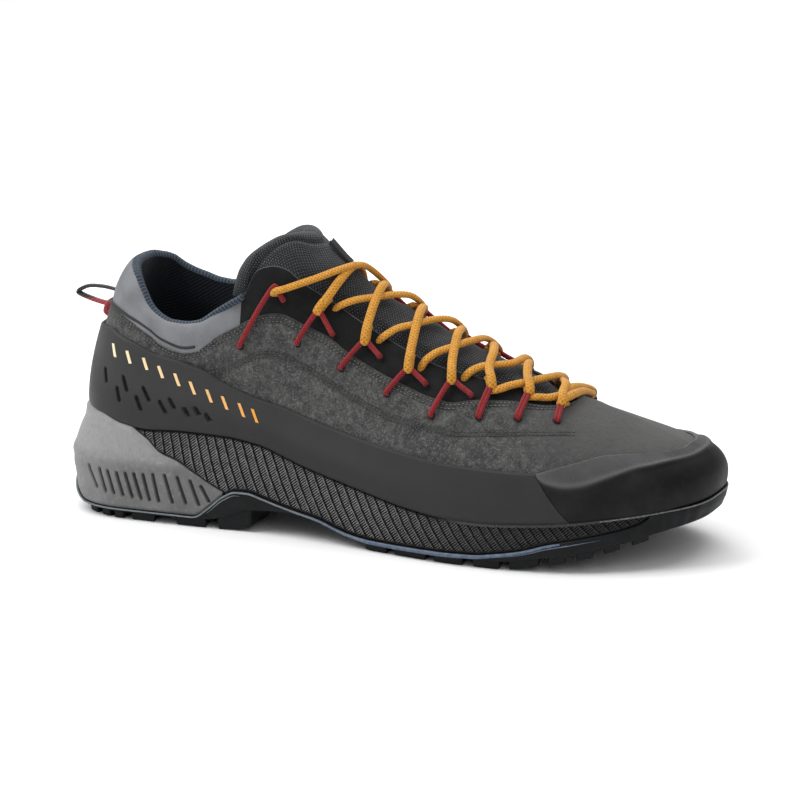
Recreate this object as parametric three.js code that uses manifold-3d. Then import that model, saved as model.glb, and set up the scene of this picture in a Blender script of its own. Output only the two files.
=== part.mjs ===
import * as THREE from 'three';
import { mergeVertices } from 'three/addons/utils/BufferGeometryUtils.js';
import Module from 'manifold-3d';

// Approach shoe for the right foot, in millimetres.
// x runs to the toe, y to the inner side, z up; the floor is z = 0.

// Last and upper
const lastLength = 281.5; // feather line, heel to toe
const ballWidth = 92.6; // across the feather line at the ball
const heelRear = 6; // sole rear to the feather line
const heelEndRound = 30; // length over which the heel end rounds off
const toeEndRound = 62; // length over which the toe end rounds off
const endPower = 2.3; // fullness of both rounded ends
const toeSwing = 8.8; // how far the toe end swings to the inner side
const instepHeight = 100; // top of the instep over the floor
const upperWall = 2.2;
const collarPad = 3.2; // padding added to the wall around the collar
const facingStep = 0.9; // the facing and collar panel lie lower than the suede

// Overlays
const randThickness = 1.3;
const seamSlant = 15.5; // the toe cap seam leans forward by this much
const seamGap = 0.3;
const overlayGap = 0.4; // between an overlay and the upper below it

// Sole
const heelStack = 42; // sole height at the heel
const soleToe = 3.5; // the sole's toe reaches past the feather line
const soleLength = heelRear + lastLength + soleToe;
const soleMargin = 12; // cutting shapes reach past the sole by this much
const soleFlare = 4;
const midsoleInset = 1.1; // the dark wedge lies behind the heel cradle's face
const grooveCount = 12; // on each side of the heel cradle
const groovePitch = 5.2;
const grooveWidth = 1.5;
const grooveDepth = 1.2;
const grooveHeight = 10;
const grooveLean = 3.6;
const grooveStart = 0.085; // section number of the first groove
const grooveLevel = 0.4; // middle of the grooves, in shares of the sole's height
const lugInset = 0.8; // edge lugs stand in from the sole's side
const lugTaper = 0.55; // width of an edge lug's inner end to its outer end
const lugShare = 0.66; // an edge lug fills this much of its pitch
const lugLength = 8.5;
const lugWidth = 9.5;
const breastDepth = 20; // blocks at the heel breast
const breastSink = 3; // how deep they stand in the base
const lugSink = 1.2;
const fitGap = 0.3;

// Footbed and tongue
const insoleThickness = 4;
const insoleClearance = 1.5;
const tongueThickness = 3.4;
const tonguePadding = 4; // added at its top edge
const tongueGap = 1.1; // between the tongue and the facings over it

// Cords
const laceDiameter = 3.6;
const laceLift = 3.6; // lace centre over the upper's surface
const loopDiameter = 2.2;
const doubleLeg = 3.6; // across both legs of a loop with one hole
const loopReach = 0.5; // a loop's tip lies this far short of the lace's side
const pullDiameter = 1.8;
const pullReach = 16; // the heel pull loop stands out by this much
const tabWidth = 9;
const tabThickness = 3.2;

// The shoe's reference point: under the middle of the heel
const heelRest = 42;

// Tables: a row for each section, "at" is its share of the length from heel to toe

// Half widths of the feather line, in shares of ballWidth
const plan = [
  { at: 0, lateral: 0.305, medial: 0.300 },
  { at: 0.105, lateral: 0.316, medial: 0.305 },
  { at: 0.21, lateral: 0.326, medial: 0.305 },
  { at: 0.35, lateral: 0.332, medial: 0.284 },
  { at: 0.455, lateral: 0.368, medial: 0.295 },
  { at: 0.56, lateral: 0.432, medial: 0.347 },
  { at: 0.664, lateral: 0.495, medial: 0.432 },
  { at: 0.741, lateral: 0.516, medial: 0.474 },
  { at: 0.822, lateral: 0.511, medial: 0.505 },
  { at: 0.909, lateral: 0.474, medial: 0.505 },
  { at: 1, lateral: 0.463, medial: 0.495 },
];

// Height of the feather line, in shares of heelStack
const feather = [
  { at: 0, height: 1.128 }, { at: 0.045, height: 1.088 }, { at: 0.09, height: 1.007 },
  { at: 0.13, height: 0.976 }, { at: 0.19, height: 0.998 }, { at: 0.26, height: 0.99 },
  { at: 0.32, height: 0.938 }, { at: 0.36, height: 0.848 }, { at: 0.395, height: 0.767 },
  { at: 0.45, height: 0.676 }, { at: 0.51, height: 0.59 }, { at: 0.57, height: 0.51 },
  { at: 0.63, height: 0.462 }, { at: 0.69, height: 0.448 }, { at: 0.74, height: 0.462 },
  { at: 0.8, height: 0.49 }, { at: 0.86, height: 0.529 }, { at: 0.92, height: 0.571 },
  { at: 0.97, height: 0.614 }, { at: 1, height: 0.648 },
];

// Crest of the last: each section leans to its own crest point.
// along in shares of lastLength, aside of ballWidth, height of instepHeight
const crest = [
  { at: 0, along: 0.145, aside: 0, height: 1.42 },
  { at: 0.08, along: 0.16, aside: 0, height: 1.42 },
  { at: 0.16, along: 0.19, aside: 0, height: 1.42 },
  { at: 0.24, along: 0.245, aside: 0, height: 1.41 },
  { at: 0.32, along: 0.322, aside: 0, height: 1.35 },
  { at: 0.35, along: 0.352, aside: 0, height: 1.31 },
  { at: 0.385, along: 0.387, aside: 0, height: 1.21 },
  { at: 0.43, along: 0.432, aside: 0.01, height: 1.11 },
  { at: 0.48, along: 0.482, aside: 0.02, height: 1.027 },
  { at: 0.54, along: 0.54, aside: 0.03, height: 0.943 },
  { at: 0.6, along: 0.6, aside: 0.035, height: 0.86 },
  { at: 0.66, along: 0.66, aside: 0.04, height: 0.785 },
  { at: 0.72, along: 0.717, aside: 0.045, height: 0.722 },
  { at: 0.78, along: 0.765, aside: 0.05, height: 0.67 },
  { at: 0.85, along: 0.805, aside: 0.06, height: 0.63 },
  { at: 0.93, along: 0.832, aside: 0.07, height: 0.61 },
  { at: 1, along: 0.838, aside: 0.07, height: 0.606 },
];

// Shape of each section between feather and crest, in shares of its width and height:
// bulge and rise steer the side wall, reach and drop the shoulder
const lateralForm = [
  { at: 0, bulge: 0.02, rise: 0.22, reach: 0.42, drop: 0.25 },
  { at: 0.03, bulge: 0.03, rise: 0.24, reach: 0.38, drop: 0.2 },
  { at: 0.08, bulge: 0.05, rise: 0.26, reach: 0.28, drop: 0.12 },
  { at: 0.18, bulge: 0.1, rise: 0.32, reach: 0.14, drop: 0.05 },
  { at: 0.3, bulge: 0.1, rise: 0.34, reach: 0.16, drop: 0.02 },
  { at: 0.4, bulge: 0.08, rise: 0.36, reach: 0.26, drop: 0 },
  { at: 0.5, bulge: 0.07, rise: 0.38, reach: 0.36, drop: 0 },
  { at: 0.6, bulge: 0.07, rise: 0.4, reach: 0.4, drop: 0 },
  { at: 0.7, bulge: 0.08, rise: 0.42, reach: 0.38, drop: 0 },
  { at: 0.8, bulge: 0.1, rise: 0.44, reach: 0.3, drop: 0.03 },
  { at: 0.9, bulge: 0.1, rise: 0.45, reach: 0.18, drop: 0.08 },
  { at: 0.97, bulge: 0.1, rise: 0.45, reach: 0.12, drop: 0.04 },
  { at: 1, bulge: 0.1, rise: 0.45, reach: 0.08, drop: 0 },
];
const medialForm = [
  { at: 0, bulge: 0.02, rise: 0.22, reach: 0.42, drop: 0.25 },
  { at: 0.03, bulge: 0.03, rise: 0.24, reach: 0.38, drop: 0.2 },
  { at: 0.08, bulge: 0.05, rise: 0.26, reach: 0.28, drop: 0.12 },
  { at: 0.18, bulge: 0.08, rise: 0.32, reach: 0.14, drop: 0.05 },
  { at: 0.3, bulge: 0.06, rise: 0.34, reach: 0.16, drop: 0.02 },
  { at: 0.4, bulge: 0.04, rise: 0.36, reach: 0.26, drop: 0 },
  { at: 0.5, bulge: 0.05, rise: 0.38, reach: 0.36, drop: 0 },
  { at: 0.6, bulge: 0.06, rise: 0.4, reach: 0.4, drop: 0 },
  { at: 0.7, bulge: 0.06, rise: 0.42, reach: 0.4, drop: 0 },
  { at: 0.8, bulge: 0.06, rise: 0.42, reach: 0.36, drop: 0.04 },
  { at: 0.9, bulge: 0.06, rise: 0.43, reach: 0.26, drop: 0.08 },
  { at: 0.97, bulge: 0.08, rise: 0.45, reach: 0.14, drop: 0.05 },
  { at: 1, bulge: 0.1, rise: 0.45, reach: 0.08, drop: 0 },
];

// Edges drawn on the upper: how far up each section they lie, 0 at the feather, 1 at the crest
const rimLine = [
  { at: 0, lateral: 0.645, medial: 0.645 }, { at: 0.015, lateral: 0.625, medial: 0.633 },
  { at: 0.07, lateral: 0.571, medial: 0.589 }, { at: 0.1, lateral: 0.513, medial: 0.545 },
  { at: 0.117, lateral: 0.47, medial: 0.523 }, { at: 0.142, lateral: 0.425, medial: 0.494 },
  { at: 0.169, lateral: 0.396, medial: 0.465 }, { at: 0.194, lateral: 0.39, medial: 0.455 },
  { at: 0.217, lateral: 0.399, medial: 0.458 }, { at: 0.245, lateral: 0.438, medial: 0.478 },
  { at: 0.273, lateral: 0.483, medial: 0.513 }, { at: 0.29, lateral: 0.518, medial: 0.54 },
  { at: 0.298, lateral: 0.575, medial: 0.58 }, { at: 0.306, lateral: 0.619, medial: 0.62 },
  { at: 0.321, lateral: 0.648, medial: 0.65 }, { at: 0.338, lateral: 0.667, medial: 0.668 },
  { at: 0.374, lateral: 0.685, medial: 0.685 }, { at: 0.43, lateral: 0.715, medial: 0.715 },
  { at: 0.503, lateral: 0.705, medial: 0.705 }, { at: 0.569, lateral: 0.705, medial: 0.705 },
  { at: 0.639, lateral: 0.755, medial: 0.755 }, { at: 0.7, lateral: 0.82, medial: 0.82 },
  { at: 0.76, lateral: 0.885, medial: 0.885 }, { at: 0.8, lateral: 0.93, medial: 0.93 },
  { at: 0.83, lateral: 1, medial: 1 }, { at: 1, lateral: 1, medial: 1 },
];
const suedeLine = [
  { at: 0, share: 0.465 }, { at: 0.028, share: 0.457 }, { at: 0.06, share: 0.437 },
  { at: 0.102, share: 0.406 }, { at: 0.132, share: 0.373 }, { at: 0.158, share: 0.334 },
  { at: 0.196, share: 0.305 }, { at: 0.219, share: 0.314 }, { at: 0.247, share: 0.354 },
  { at: 0.275, share: 0.392 }, { at: 0.311, share: 0.453 }, { at: 0.353, share: 0.502 },
  { at: 0.397, share: 0.539 }, { at: 0.429, share: 0.555 }, { at: 0.454, share: 0.542 },
  { at: 0.514, share: 0.533 }, { at: 0.581, share: 0.539 }, { at: 0.624, share: 0.56 },
  { at: 0.664, share: 0.632 }, { at: 0.72, share: 0.72 }, { at: 0.78, share: 0.81 },
  { at: 0.812, share: 0.91 }, { at: 0.83, share: 1 }, { at: 1, share: 1 },
];
const randLine = [
  { at: 0, share: 0.385 }, { at: 0.048, share: 0.377 }, { at: 0.076, share: 0.358 },
  { at: 0.107, share: 0.335 }, { at: 0.15, share: 0.291 }, { at: 0.192, share: 0.265 },
  { at: 0.234, share: 0.237 }, { at: 0.268, share: 0.204 }, { at: 0.326, share: 0.181 },
  { at: 0.392, share: 0.208 }, { at: 0.501, share: 0.232 }, { at: 0.592, share: 0.26 },
  { at: 0.687, share: 0.295 }, { at: 0.78, share: 0.333 }, { at: 0.805, share: 0.379 },
  { at: 0.846, share: 0.461 }, { at: 0.883, share: 0.534 }, { at: 0.925, share: 0.57 },
  { at: 0.965, share: 0.594 }, { at: 1, share: 0.62 },
];
const throatFront = 0.83;
const capSeam = 0.78;

// Lacing points: lateral and medial have one row each from ankle to toe.
// share is where the loop's top lies, back and front are its legs' holes.
// A loop with a back hole alone has both legs side by side in it
const lateralLoops = [
  { at: 0.341, share: 0.6, back: [0.29, 0.36], front: [0.345, 0.47] },
  { at: 0.41, share: 0.611, back: [0.38, 0.452], front: [0.432, 0.54] },
  { at: 0.485, share: 0.603, back: [0.452, 0.468], front: [0.509, 0.565] },
  { at: 0.56, share: 0.597, back: [0.53, 0.464], front: [0.586, 0.56] },
  { at: 0.625, share: 0.628, back: [0.605, 0.468], front: [0.657, 0.59] },
  { at: 0.683, share: 0.7, back: [0.68, 0.565] },
  { at: 0.745, share: 0.764, back: [0.738, 0.635] },
  { at: 0.797, share: 0.815, back: [0.796, 0.71] },
];
const medialLoops = [
  { at: 0.36, share: 0.63, back: [0.31, 0.4], front: [0.362, 0.5] },
  { at: 0.43, share: 0.64, back: [0.4, 0.47], front: [0.45, 0.54] },
  { at: 0.5, share: 0.635, back: [0.467, 0.475], front: [0.524, 0.55] },
  { at: 0.57, share: 0.64, back: [0.54, 0.48], front: [0.596, 0.56] },
  { at: 0.632, share: 0.66, back: [0.612, 0.5], front: [0.662, 0.6] },
  { at: 0.688, share: 0.71, back: [0.684, 0.59] },
  { at: 0.743, share: 0.77, back: [0.737, 0.65] },
  { at: 0.79, share: 0.825, back: [0.79, 0.72] },
];

// Sole lines against the sole's length, heights in shares of heelStack:
// top of the outsole, underside of its lugs, underside of its base
const soleLines = [
  { along: -0.02, top: 0.4, lug: 0.27, base: 0.31 }, { along: 0, top: 0.33, lug: 0.21, base: 0.25 },
  { along: 0.017, top: 0.19, lug: 0.1, base: 0.15 }, { along: 0.041, top: 0.122, lug: 0, base: 0.081 },
  { along: 0.1, top: 0.117, lug: 0, base: 0.079 }, { along: 0.22, top: 0.117, lug: 0, base: 0.079 },
  { along: 0.228, top: 0.125, lug: 0, base: 0.081 }, { along: 0.251, top: 0.233, lug: 0, base: 0.1 },
  { along: 0.275, top: 0.37, lug: 0, base: 0.143 }, { along: 0.295, top: 0.43, lug: 0, base: 0.19 },
  { along: 0.313, top: 0.432, lug: 0.05, base: 0.236 }, { along: 0.337, top: 0.393, lug: 0.2, base: 0.25 },
  { along: 0.36, top: 0.348, lug: 0.255, base: 0.262 }, { along: 0.385, top: 0.307, lug: 0.265, base: 0.262 },
  { along: 0.433, top: 0.245, lug: 0.2, base: 0.2 }, { along: 0.467, top: 0.172, lug: 0.12, base: 0.13 },
  { along: 0.495, top: 0.134, lug: 0.045, base: 0.093 }, { along: 0.522, top: 0.12, lug: 0, base: 0.079 },
  { along: 0.567, top: 0.117, lug: 0, base: 0.079 }, { along: 0.622, top: 0.12, lug: 0, base: 0.079 },
  { along: 0.687, top: 0.134, lug: 0, base: 0.079 }, { along: 0.725, top: 0.17, lug: 0, base: 0.083 },
  { along: 0.76, top: 0.214, lug: 0.028, base: 0.11 }, { along: 0.8, top: 0.295, lug: 0.081, base: 0.157 },
  { along: 0.842, top: 0.352, lug: 0.129, base: 0.2 }, { along: 0.883, top: 0.405, lug: 0.207, base: 0.267 },
  { along: 0.918, top: 0.476, lug: 0.286, base: 0.333 }, { along: 0.945, top: 0.62, lug: 0.348, base: 0.386 },
  { along: 0.972, top: 0.7, lug: 0.395, base: 0.424 }, { along: 1.02, top: 0.75, lug: 0.44, base: 0.47 },
];
// Border between heel cradle and midsole
const cradleLine = [
  { along: 0, height: 1.35 }, { along: 0.08, height: 1.35 }, { along: 0.1, height: 1.12 },
  { along: 0.124, height: 0.97 }, { along: 0.148, height: 0.86 },
  { along: 0.168, height: 0.745 }, { along: 0.199, height: 0.674 }, { along: 0.223, height: 0.581 },
  { along: 0.251, height: 0.47 }, { along: 0.275, height: 0.39 }, { along: 0.3, height: 0.3 },
  { along: 0.33, height: 0.1 },
];
// Flare of the sole's side along the shoe, and from floor to feather, in shares of soleFlare
const flareAlong = [
  { at: 0, share: 1.5 }, { at: 0.05, share: 1.35 }, { at: 0.15, share: 1.1 }, { at: 0.3, share: 0.9 },
  { at: 0.6, share: 1 }, { at: 0.8, share: 0.9 }, { at: 0.92, share: 0.5 }, { at: 1, share: 0.1 },
];
const flareProfile = [
  { level: 0, share: 0.7 }, { level: 0.12, share: 0.9 }, { level: 0.35, share: 1 },
  { level: 0.65, share: 0.92 }, { level: 0.85, share: 0.62 }, { level: 1, share: 0.42 },
];

// Smooth, monotone interpolation through the rows of a table
function curveThrough(rows, place, name) {
  const x = rows.map(place);
  const y = rows.map((row) => row[name]);
  const secant = x.slice(1).map((value, i) => (y[i + 1] - y[i]) / (value - x[i]));
  const slope = y.map((_, i) => {
    if (i === 0) return secant[0];
    if (i === y.length - 1) return secant[i - 1];
    const product = secant[i - 1] * secant[i];
    return product <= 0 ? 0 : (2 * product) / (secant[i - 1] + secant[i]);
  });
  return (value) => {
    let i = 0;
    while (i < x.length - 2 && value > x[i + 1]) i += 1;
    const span = x[i + 1] - x[i];
    const t = THREE.MathUtils.clamp((value - x[i]) / span, 0, 1);
    const rest = 1 - t;
    return (1 + 2 * t) * rest * rest * y[i] + t * rest * rest * span * slope[i]
      + t * t * (3 - 2 * t) * y[i + 1] - t * t * rest * span * slope[i + 1];
  };
}

// A section's number runs evenly around both ends: 0 at the heel, 1 at the toe
const sectionOf = (at) => Math.acos(THREE.MathUtils.clamp(1 - 2 * at, -1, 1)) / Math.PI;
const atOf = (section) => (1 - Math.cos(Math.PI * section)) / 2;

function columns(rows) {
  const names = Object.keys(rows[0]).filter((name) => name !== 'at');
  const curves = names.map((name) => [name, curveThrough(rows, (row) => sectionOf(row.at), name)]);
  const all = Object.fromEntries(curves);
  return (name, section) => all[name](section);
}

const planAt = columns(plan);
const featherAt = columns(feather);
const crestAt = columns(crest);
const formAt = { lateral: columns(lateralForm), medial: columns(medialForm) };
const rimAt = columns(rimLine);
const suedeAt = columns(suedeLine);
const randAt = columns(randLine);
const flareAt = columns(flareAlong);
const flareLevel = curveThrough(flareProfile, (row) => row.level, 'share');
const soleCurve = (name) => curveThrough(soleLines, (row) => row.along * soleLength, name);
const outsoleTop = soleCurve('top');
const lugUnderside = soleCurve('lug');
const baseUnderside = soleCurve('base');
const cradleTop = curveThrough(cradleLine, (row) => row.along * soleLength, 'height');

const signOf = { lateral: -1, medial: 1 };
const sides = ['lateral', 'medial'];

function endRound(along) {
  let share = 1;
  if (along < heelEndRound) {
    share *= Math.max(0, 1 - ((heelEndRound - along) / heelEndRound) ** endPower) ** (1 / endPower);
  }
  const toToe = lastLength - along;
  if (toToe < toeEndRound) {
    share *= Math.max(0, 1 - ((toeEndRound - toToe) / toeEndRound) ** endPower) ** (1 / endPower);
  }
  return share;
}

function planPoint(side, section) {
  const at = atOf(section);
  const half = ballWidth * planAt(side, section) * endRound(at * lastLength);
  const swing = toeSwing * THREE.MathUtils.smoothstep(at, 0.5, 1);
  return new THREE.Vector2(heelRear + lastLength * at, swing + signOf[side] * half);
}

// The feather line moved outwards by grow, square to itself
function grownPlan(side, section, grow) {
  const point = planPoint(side, section);
  if (section <= 0) return new THREE.Vector2(point.x - grow, point.y);
  if (section >= 1) return new THREE.Vector2(point.x + grow, point.y);
  const step = 0.004;
  const ahead = planPoint(side, Math.min(1, section + step));
  const behind = planPoint(side, Math.max(0, section - step));
  const run = ahead.sub(behind).normalize();
  return new THREE.Vector2(point.x - signOf[side] * run.y * grow, point.y + signOf[side] * run.x * grow);
}

function featherHeight(x) {
  const at = THREE.MathUtils.clamp((x - heelRear) / lastLength, 0, 1);
  return heelStack * featherAt('height', sectionOf(at));
}
const deckHeight = (x) => featherHeight(x) - fitGap;

function crestPoint(section) {
  return new THREE.Vector3(
    heelRear + lastLength * crestAt('along', section),
    ballWidth * crestAt('aside', section),
    instepHeight * crestAt('height', section),
  );
}

function crestSlope(section) {
  const at = atOf(section);
  const ahead = crestPoint(sectionOf(Math.min(1, at + 0.02)));
  const behind = crestPoint(sectionOf(Math.max(0, at - 0.02)));
  return THREE.MathUtils.clamp((ahead.z - behind.z) / (ahead.x - behind.x), -0.6, 0);
}

// A point of the last's surface: share runs up the section from feather to crest
function lastPoint(side, section, share) {
  const form = (name) => formAt[side](name, section);
  const foot = planPoint(side, section);
  const low = new THREE.Vector3(foot.x, foot.y, heelStack * featherAt('height', section));
  const high = crestPoint(section);
  const height = high.z - low.z;
  const wall = low.clone().lerp(high, -form('bulge')).setZ(low.z + height * form('rise'));
  const shoulder = low.clone().lerp(high, form('reach'));
  shoulder.z = high.z + crestSlope(section) * (shoulder.x - high.x) - form('drop') * height;
  const rest = 1 - share;
  return low.multiplyScalar(rest ** 3)
    .addScaledVector(wall, 3 * rest * rest * share)
    .addScaledVector(shoulder, 3 * rest * share * share)
    .addScaledVector(high, share ** 3);
}

function sideNormal(side, section, share) {
  const step = 0.002;
  const along = lastPoint(side, Math.min(1, section + step), share)
    .sub(lastPoint(side, Math.max(0, section - step), share));
  const up = lastPoint(side, section, Math.min(1, share + step))
    .sub(lastPoint(side, section, Math.max(0, share - step)));
  return along.cross(up).multiplyScalar(-signOf[side]).normalize();
}

// Both sides agree on the crest and at the two ends
function lastNormal(side, section, share) {
  if (share > 0.999) return new THREE.Vector3(-crestSlope(section), 0, 1).normalize();
  if (section > 0 && section < 1) return sideNormal(side, section, share);
  return sideNormal('lateral', section, share).add(sideNormal('medial', section, share)).normalize();
}

// A point of the shoe's surface, moved outwards by offset; its lowest row stands on the sole
function surfacePoint(side, section, share, offset) {
  const point = lastPoint(side, section, share);
  if (offset !== 0) point.addScaledVector(lastNormal(side, section, share), offset);
  if (share === 0) point.z = featherHeight(point.x);
  return point;
}

// Closed meshes from points; points at one place become one vertex
class Skin {
  constructor() {
    this.points = [];
    this.faces = [];
    this.known = new Map();
  }

  vertex(point) {
    const key = [point.x, point.y, point.z].map((value) => Math.round(value * 1000)).join(' ');
    if (!this.known.has(key)) {
      this.known.set(key, this.points.length);
      this.points.push(point.clone());
    }
    return this.known.get(key);
  }

  triangle(a, b, c) {
    const corners = [a, b, c].map((point) => this.vertex(point));
    if (new Set(corners).size === 3) this.faces.push(corners);
  }

  quad(a, b, c, d) {
    this.triangle(a, b, c);
    this.triangle(a, c, d);
  }

  // Joins two rings of points; skip names the edges that are left open
  band(ringA, ringB, skip = () => false) {
    ringA.forEach((point, i) => {
      const next = (i + 1) % ringA.length;
      if (!skip(i)) this.quad(point, ringB[i], ringB[next], ringA[next]);
    });
  }

  // Closes a ring whose second half runs back beside its first half
  lid(ring, turned) {
    const last = ring.length - 1;
    for (let i = 0; i < ring.length / 2 - 1; i += 1) {
      const corners = [ring[i], ring[i + 1], ring[last - i - 1], ring[last - i]];
      if (turned) corners.reverse();
      this.quad(...corners);
    }
  }

  geometry() {
    const volume = this.faces.reduce((sum, [a, b, c]) => {
      const [p, q, r] = [this.points[a], this.points[b], this.points[c]];
      return sum + p.dot(q.clone().cross(r));
    }, 0);
    const faces = volume < 0 ? this.faces.map(([a, b, c]) => [a, c, b]) : this.faces;
    const shape = new THREE.BufferGeometry();
    const places = this.points.flatMap((point) => [point.x, point.y, point.z]);
    shape.setAttribute('position', new THREE.Float32BufferAttribute(places, 3));
    shape.setIndex(faces.flat());
    return shape;
  }
}

// Solids are joined and cut as manifolds
const wasm = await Module();
wasm.setup();

function solidOf(geometry) {
  const bare = geometry.clone();
  bare.deleteAttribute('normal');
  bare.deleteAttribute('uv');
  const merged = mergeVertices(bare, 0.0005);
  return new wasm.Manifold(new wasm.Mesh({
    numProp: 3,
    vertProperties: new Float32Array(merged.attributes.position.array),
    triVerts: new Uint32Array(merged.index.array),
  }));
}

function geometryOf(solid) {
  const mesh = solid.getMesh();
  const shape = new THREE.BufferGeometry();
  shape.setAttribute('position', new THREE.Float32BufferAttribute(mesh.vertProperties, 3));
  shape.setIndex(Array.from(mesh.triVerts));
  return shape;
}

const joined = (solids) => solids.reduce((whole, solid) => whole.add(solid));

// Stations along the shoe, finer at the tab that rises in front of the collar
function stations(count, from = 0, to = 1, extra = []) {
  const even = Array.from({ length: count + 1 }, (_, i) => from + ((to - from) * i) / count);
  const close = 0.3 * ((to - from) / count);
  const kept = even.filter((value) => extra.every((other) => Math.abs(other - value) > close));
  return [...kept, ...extra].sort((a, b) => a - b);
}

// Whatever lies on the sole's deck shares its stations
const deckStations = stations(40);
const tabSections = [0.285, 0.295, 0.305, 0.318].map(sectionOf);
const frontSection = sectionOf(throatFront);
const seamSection = sectionOf(capSeam);
const upperStations = stations(40, 0, 1, [...tabSections, seamSection, frontSection]);

// The wall is padded around the collar and thins out towards the tab and the sole
function wallAt(section, height) {
  const fade = 1 - THREE.MathUtils.smoothstep(atOf(section), 0.2, 0.28);
  return upperWall + collarPad * fade * THREE.MathUtils.smoothstep(height, 0.35, 0.8);
}

// Rows that the overlays and the upper below them share
const overlayRows = [0, 1 / 3, 2 / 3, 1];

function upperRing(side, section) {
  const rim = rimAt(side, section);
  const suede = Math.min(suedeAt('share', section), rim);
  const rand = randAt('share', section);
  const step = facingStep * THREE.MathUtils.clamp((throatFront - atOf(section)) / 0.03, 0, 1);
  const under = suede + Math.min(0.014, (rim - suede) / 4);
  const wall = (share) => wallAt(section, share / rim);
  const low = overlayRows.map((row) => row * rand);
  const high = [1, 2, 3].map((row) => rand + ((suede - rand) * row) / 3);
  const outside = [...low, ...high].map((share) => [share, 0]);
  const panel = [under, (under + rim) / 2, rim].map((share) => [share, -step]);
  const edge = [[rim + 0.04 * (1 - rim), -(step + wall(rim)) / 2]];
  const inside = [rim, rim * 0.75, rim * 0.38, 0].map((share) => [share, -wall(share)]);
  return [...outside, ...panel, ...edge, ...inside]
    .map(([share, offset]) => surfacePoint(side, section, share, offset));
}

function upperShape() {
  const skin = new Skin();
  const rimEdges = [9, 10];
  sides.forEach((side) => {
    const rings = upperStations.map((section) => upperRing(side, section));
    rings.slice(1).forEach((ring, i) => {
      const closed = upperStations[i] >= frontSection;
      const pair = side === 'lateral' ? [rings[i], ring] : [ring, rings[i]];
      skin.band(...pair, (edge) => closed && rimEdges.includes(edge));
    });
  });
  return skin.geometry();
}

// Overlays lie over the upper with a gap, thinner along their top edge
function overlayRing(side, section, lean) {
  const top = randAt('share', section);
  const at = atOf(section);
  const placeOf = (row) => sectionOf(Math.min(1, at + lean(at) * (1 - row)));
  const outer = overlayRows.map((row) => {
    const offset = overlayGap + randThickness * (row === 1 ? 0.7 : 1);
    return surfacePoint(side, placeOf(row), row * top, offset);
  });
  const inner = overlayRows.map((row) => surfacePoint(side, placeOf(row), row * top, overlayGap));
  return [...outer, ...inner.reverse()];
}

function overlayShape(rings) {
  const skin = new Skin();
  rings.slice(1).forEach((ring, i) => skin.band(rings[i], ring));
  skin.lid(rings[0], false);
  skin.lid(rings[rings.length - 1], true);
  return skin.geometry();
}

const slantShare = seamSlant / lastLength;
function sideRandShape() {
  const lean = (at) => slantShare * THREE.MathUtils.smoothstep(at, 0.6, capSeam);
  const places = upperStations.filter((section) => section <= seamSection);
  const lateral = places.map((section) => overlayRing('lateral', section, lean)).reverse();
  const medial = places.slice(1).map((section) => overlayRing('medial', section, lean));
  return overlayShape([...lateral, ...medial]);
}

function toeCapShape() {
  const seamEnd = capSeam + seamGap / lastLength;
  const lean = (at) => slantShare * (1 - THREE.MathUtils.smoothstep(at, seamEnd, 0.93));
  const places = [sectionOf(seamEnd), ...upperStations.filter((section) => section > seamSection)];
  const lateral = places.map((section) => overlayRing('lateral', section, lean));
  const medial = places.slice(0, -1).map((section) => overlayRing('medial', section, lean));
  return overlayShape([...lateral, ...medial.reverse()]);
}

// The tongue follows the upper's inside and stands free above the collar
const tongueEdge = 0.5;
const tongueFront = 0.79;
const tongueTop = [
  { share: 0.5, at: 0.272 }, { share: 0.57, at: 0.28 }, { share: 0.65, at: 0.293 },
  { share: 0.72, at: 0.31 }, { share: 0.8, at: 0.33 }, { share: 0.88, at: 0.345 },
  { share: 0.94, at: 0.354 }, { share: 1, at: 0.358 },
];
const tongueTopAt = curveThrough(tongueTop, (row) => row.share, 'at');

function tonguePoint(along, across, depth) {
  const share = 1 - Math.abs(across) * (1 - tongueEdge);
  const at = THREE.MathUtils.lerp(tongueFront, tongueTopAt(share), along);
  const edge = 1 - 0.6 * Math.abs(across) ** 4;
  const padded = tongueThickness + tonguePadding * THREE.MathUtils.smoothstep(along, 0.72, 0.96);
  const thin = along > 0.99 || along < 0.01 ? 0.45 : 1;
  const middle = padded / 2;
  const offset = -(upperWall + tongueGap) - middle + middle * edge * thin * (1 - 2 * depth);
  return surfacePoint(across < 0 ? 'lateral' : 'medial', sectionOf(at), share, offset);
}

function tongueShape() {
  const acrossCount = 8;
  const alongCount = 14;
  const across = Array.from({ length: acrossCount + 1 }, (_, i) => (2 * i) / acrossCount - 1);
  const rings = Array.from({ length: alongCount + 1 }, (_, i) => {
    const along = i / alongCount;
    const over = across.map((place) => tonguePoint(along, place, 0));
    const under = across.map((place) => tonguePoint(along, place, 1));
    return [...over, ...under.reverse()];
  });
  return overlayShape(rings);
}

function insoleShape() {
  const inset = -(upperWall + insoleClearance);
  const skin = new Skin();
  const column = (side, section) => {
    const foot = grownPlan(side, section, inset);
    const low = featherHeight(foot.x);
    return [low, low + insoleThickness].map((z) => new THREE.Vector3(foot.x, foot.y, z));
  };
  const rings = deckStations.map((section) => {
    const [lateral, medial] = sides.map((side) => column(side, section));
    return [lateral[0], lateral[1], medial[1], medial[0]];
  });
  rings.slice(1).forEach((ring, i) => skin.band(rings[i], ring));
  return skin.geometry();
}

// The whole sole as one body, from under the floor to its deck; inset moves its side inwards
function solePoint(side, section, level, inset) {
  const grow = soleFlare * flareAt('share', section) * flareLevel(Math.max(0, level)) - inset;
  const foot = grownPlan(side, section, grow);
  return new THREE.Vector3(foot.x, foot.y, level * deckHeight(foot.x));
}

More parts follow.
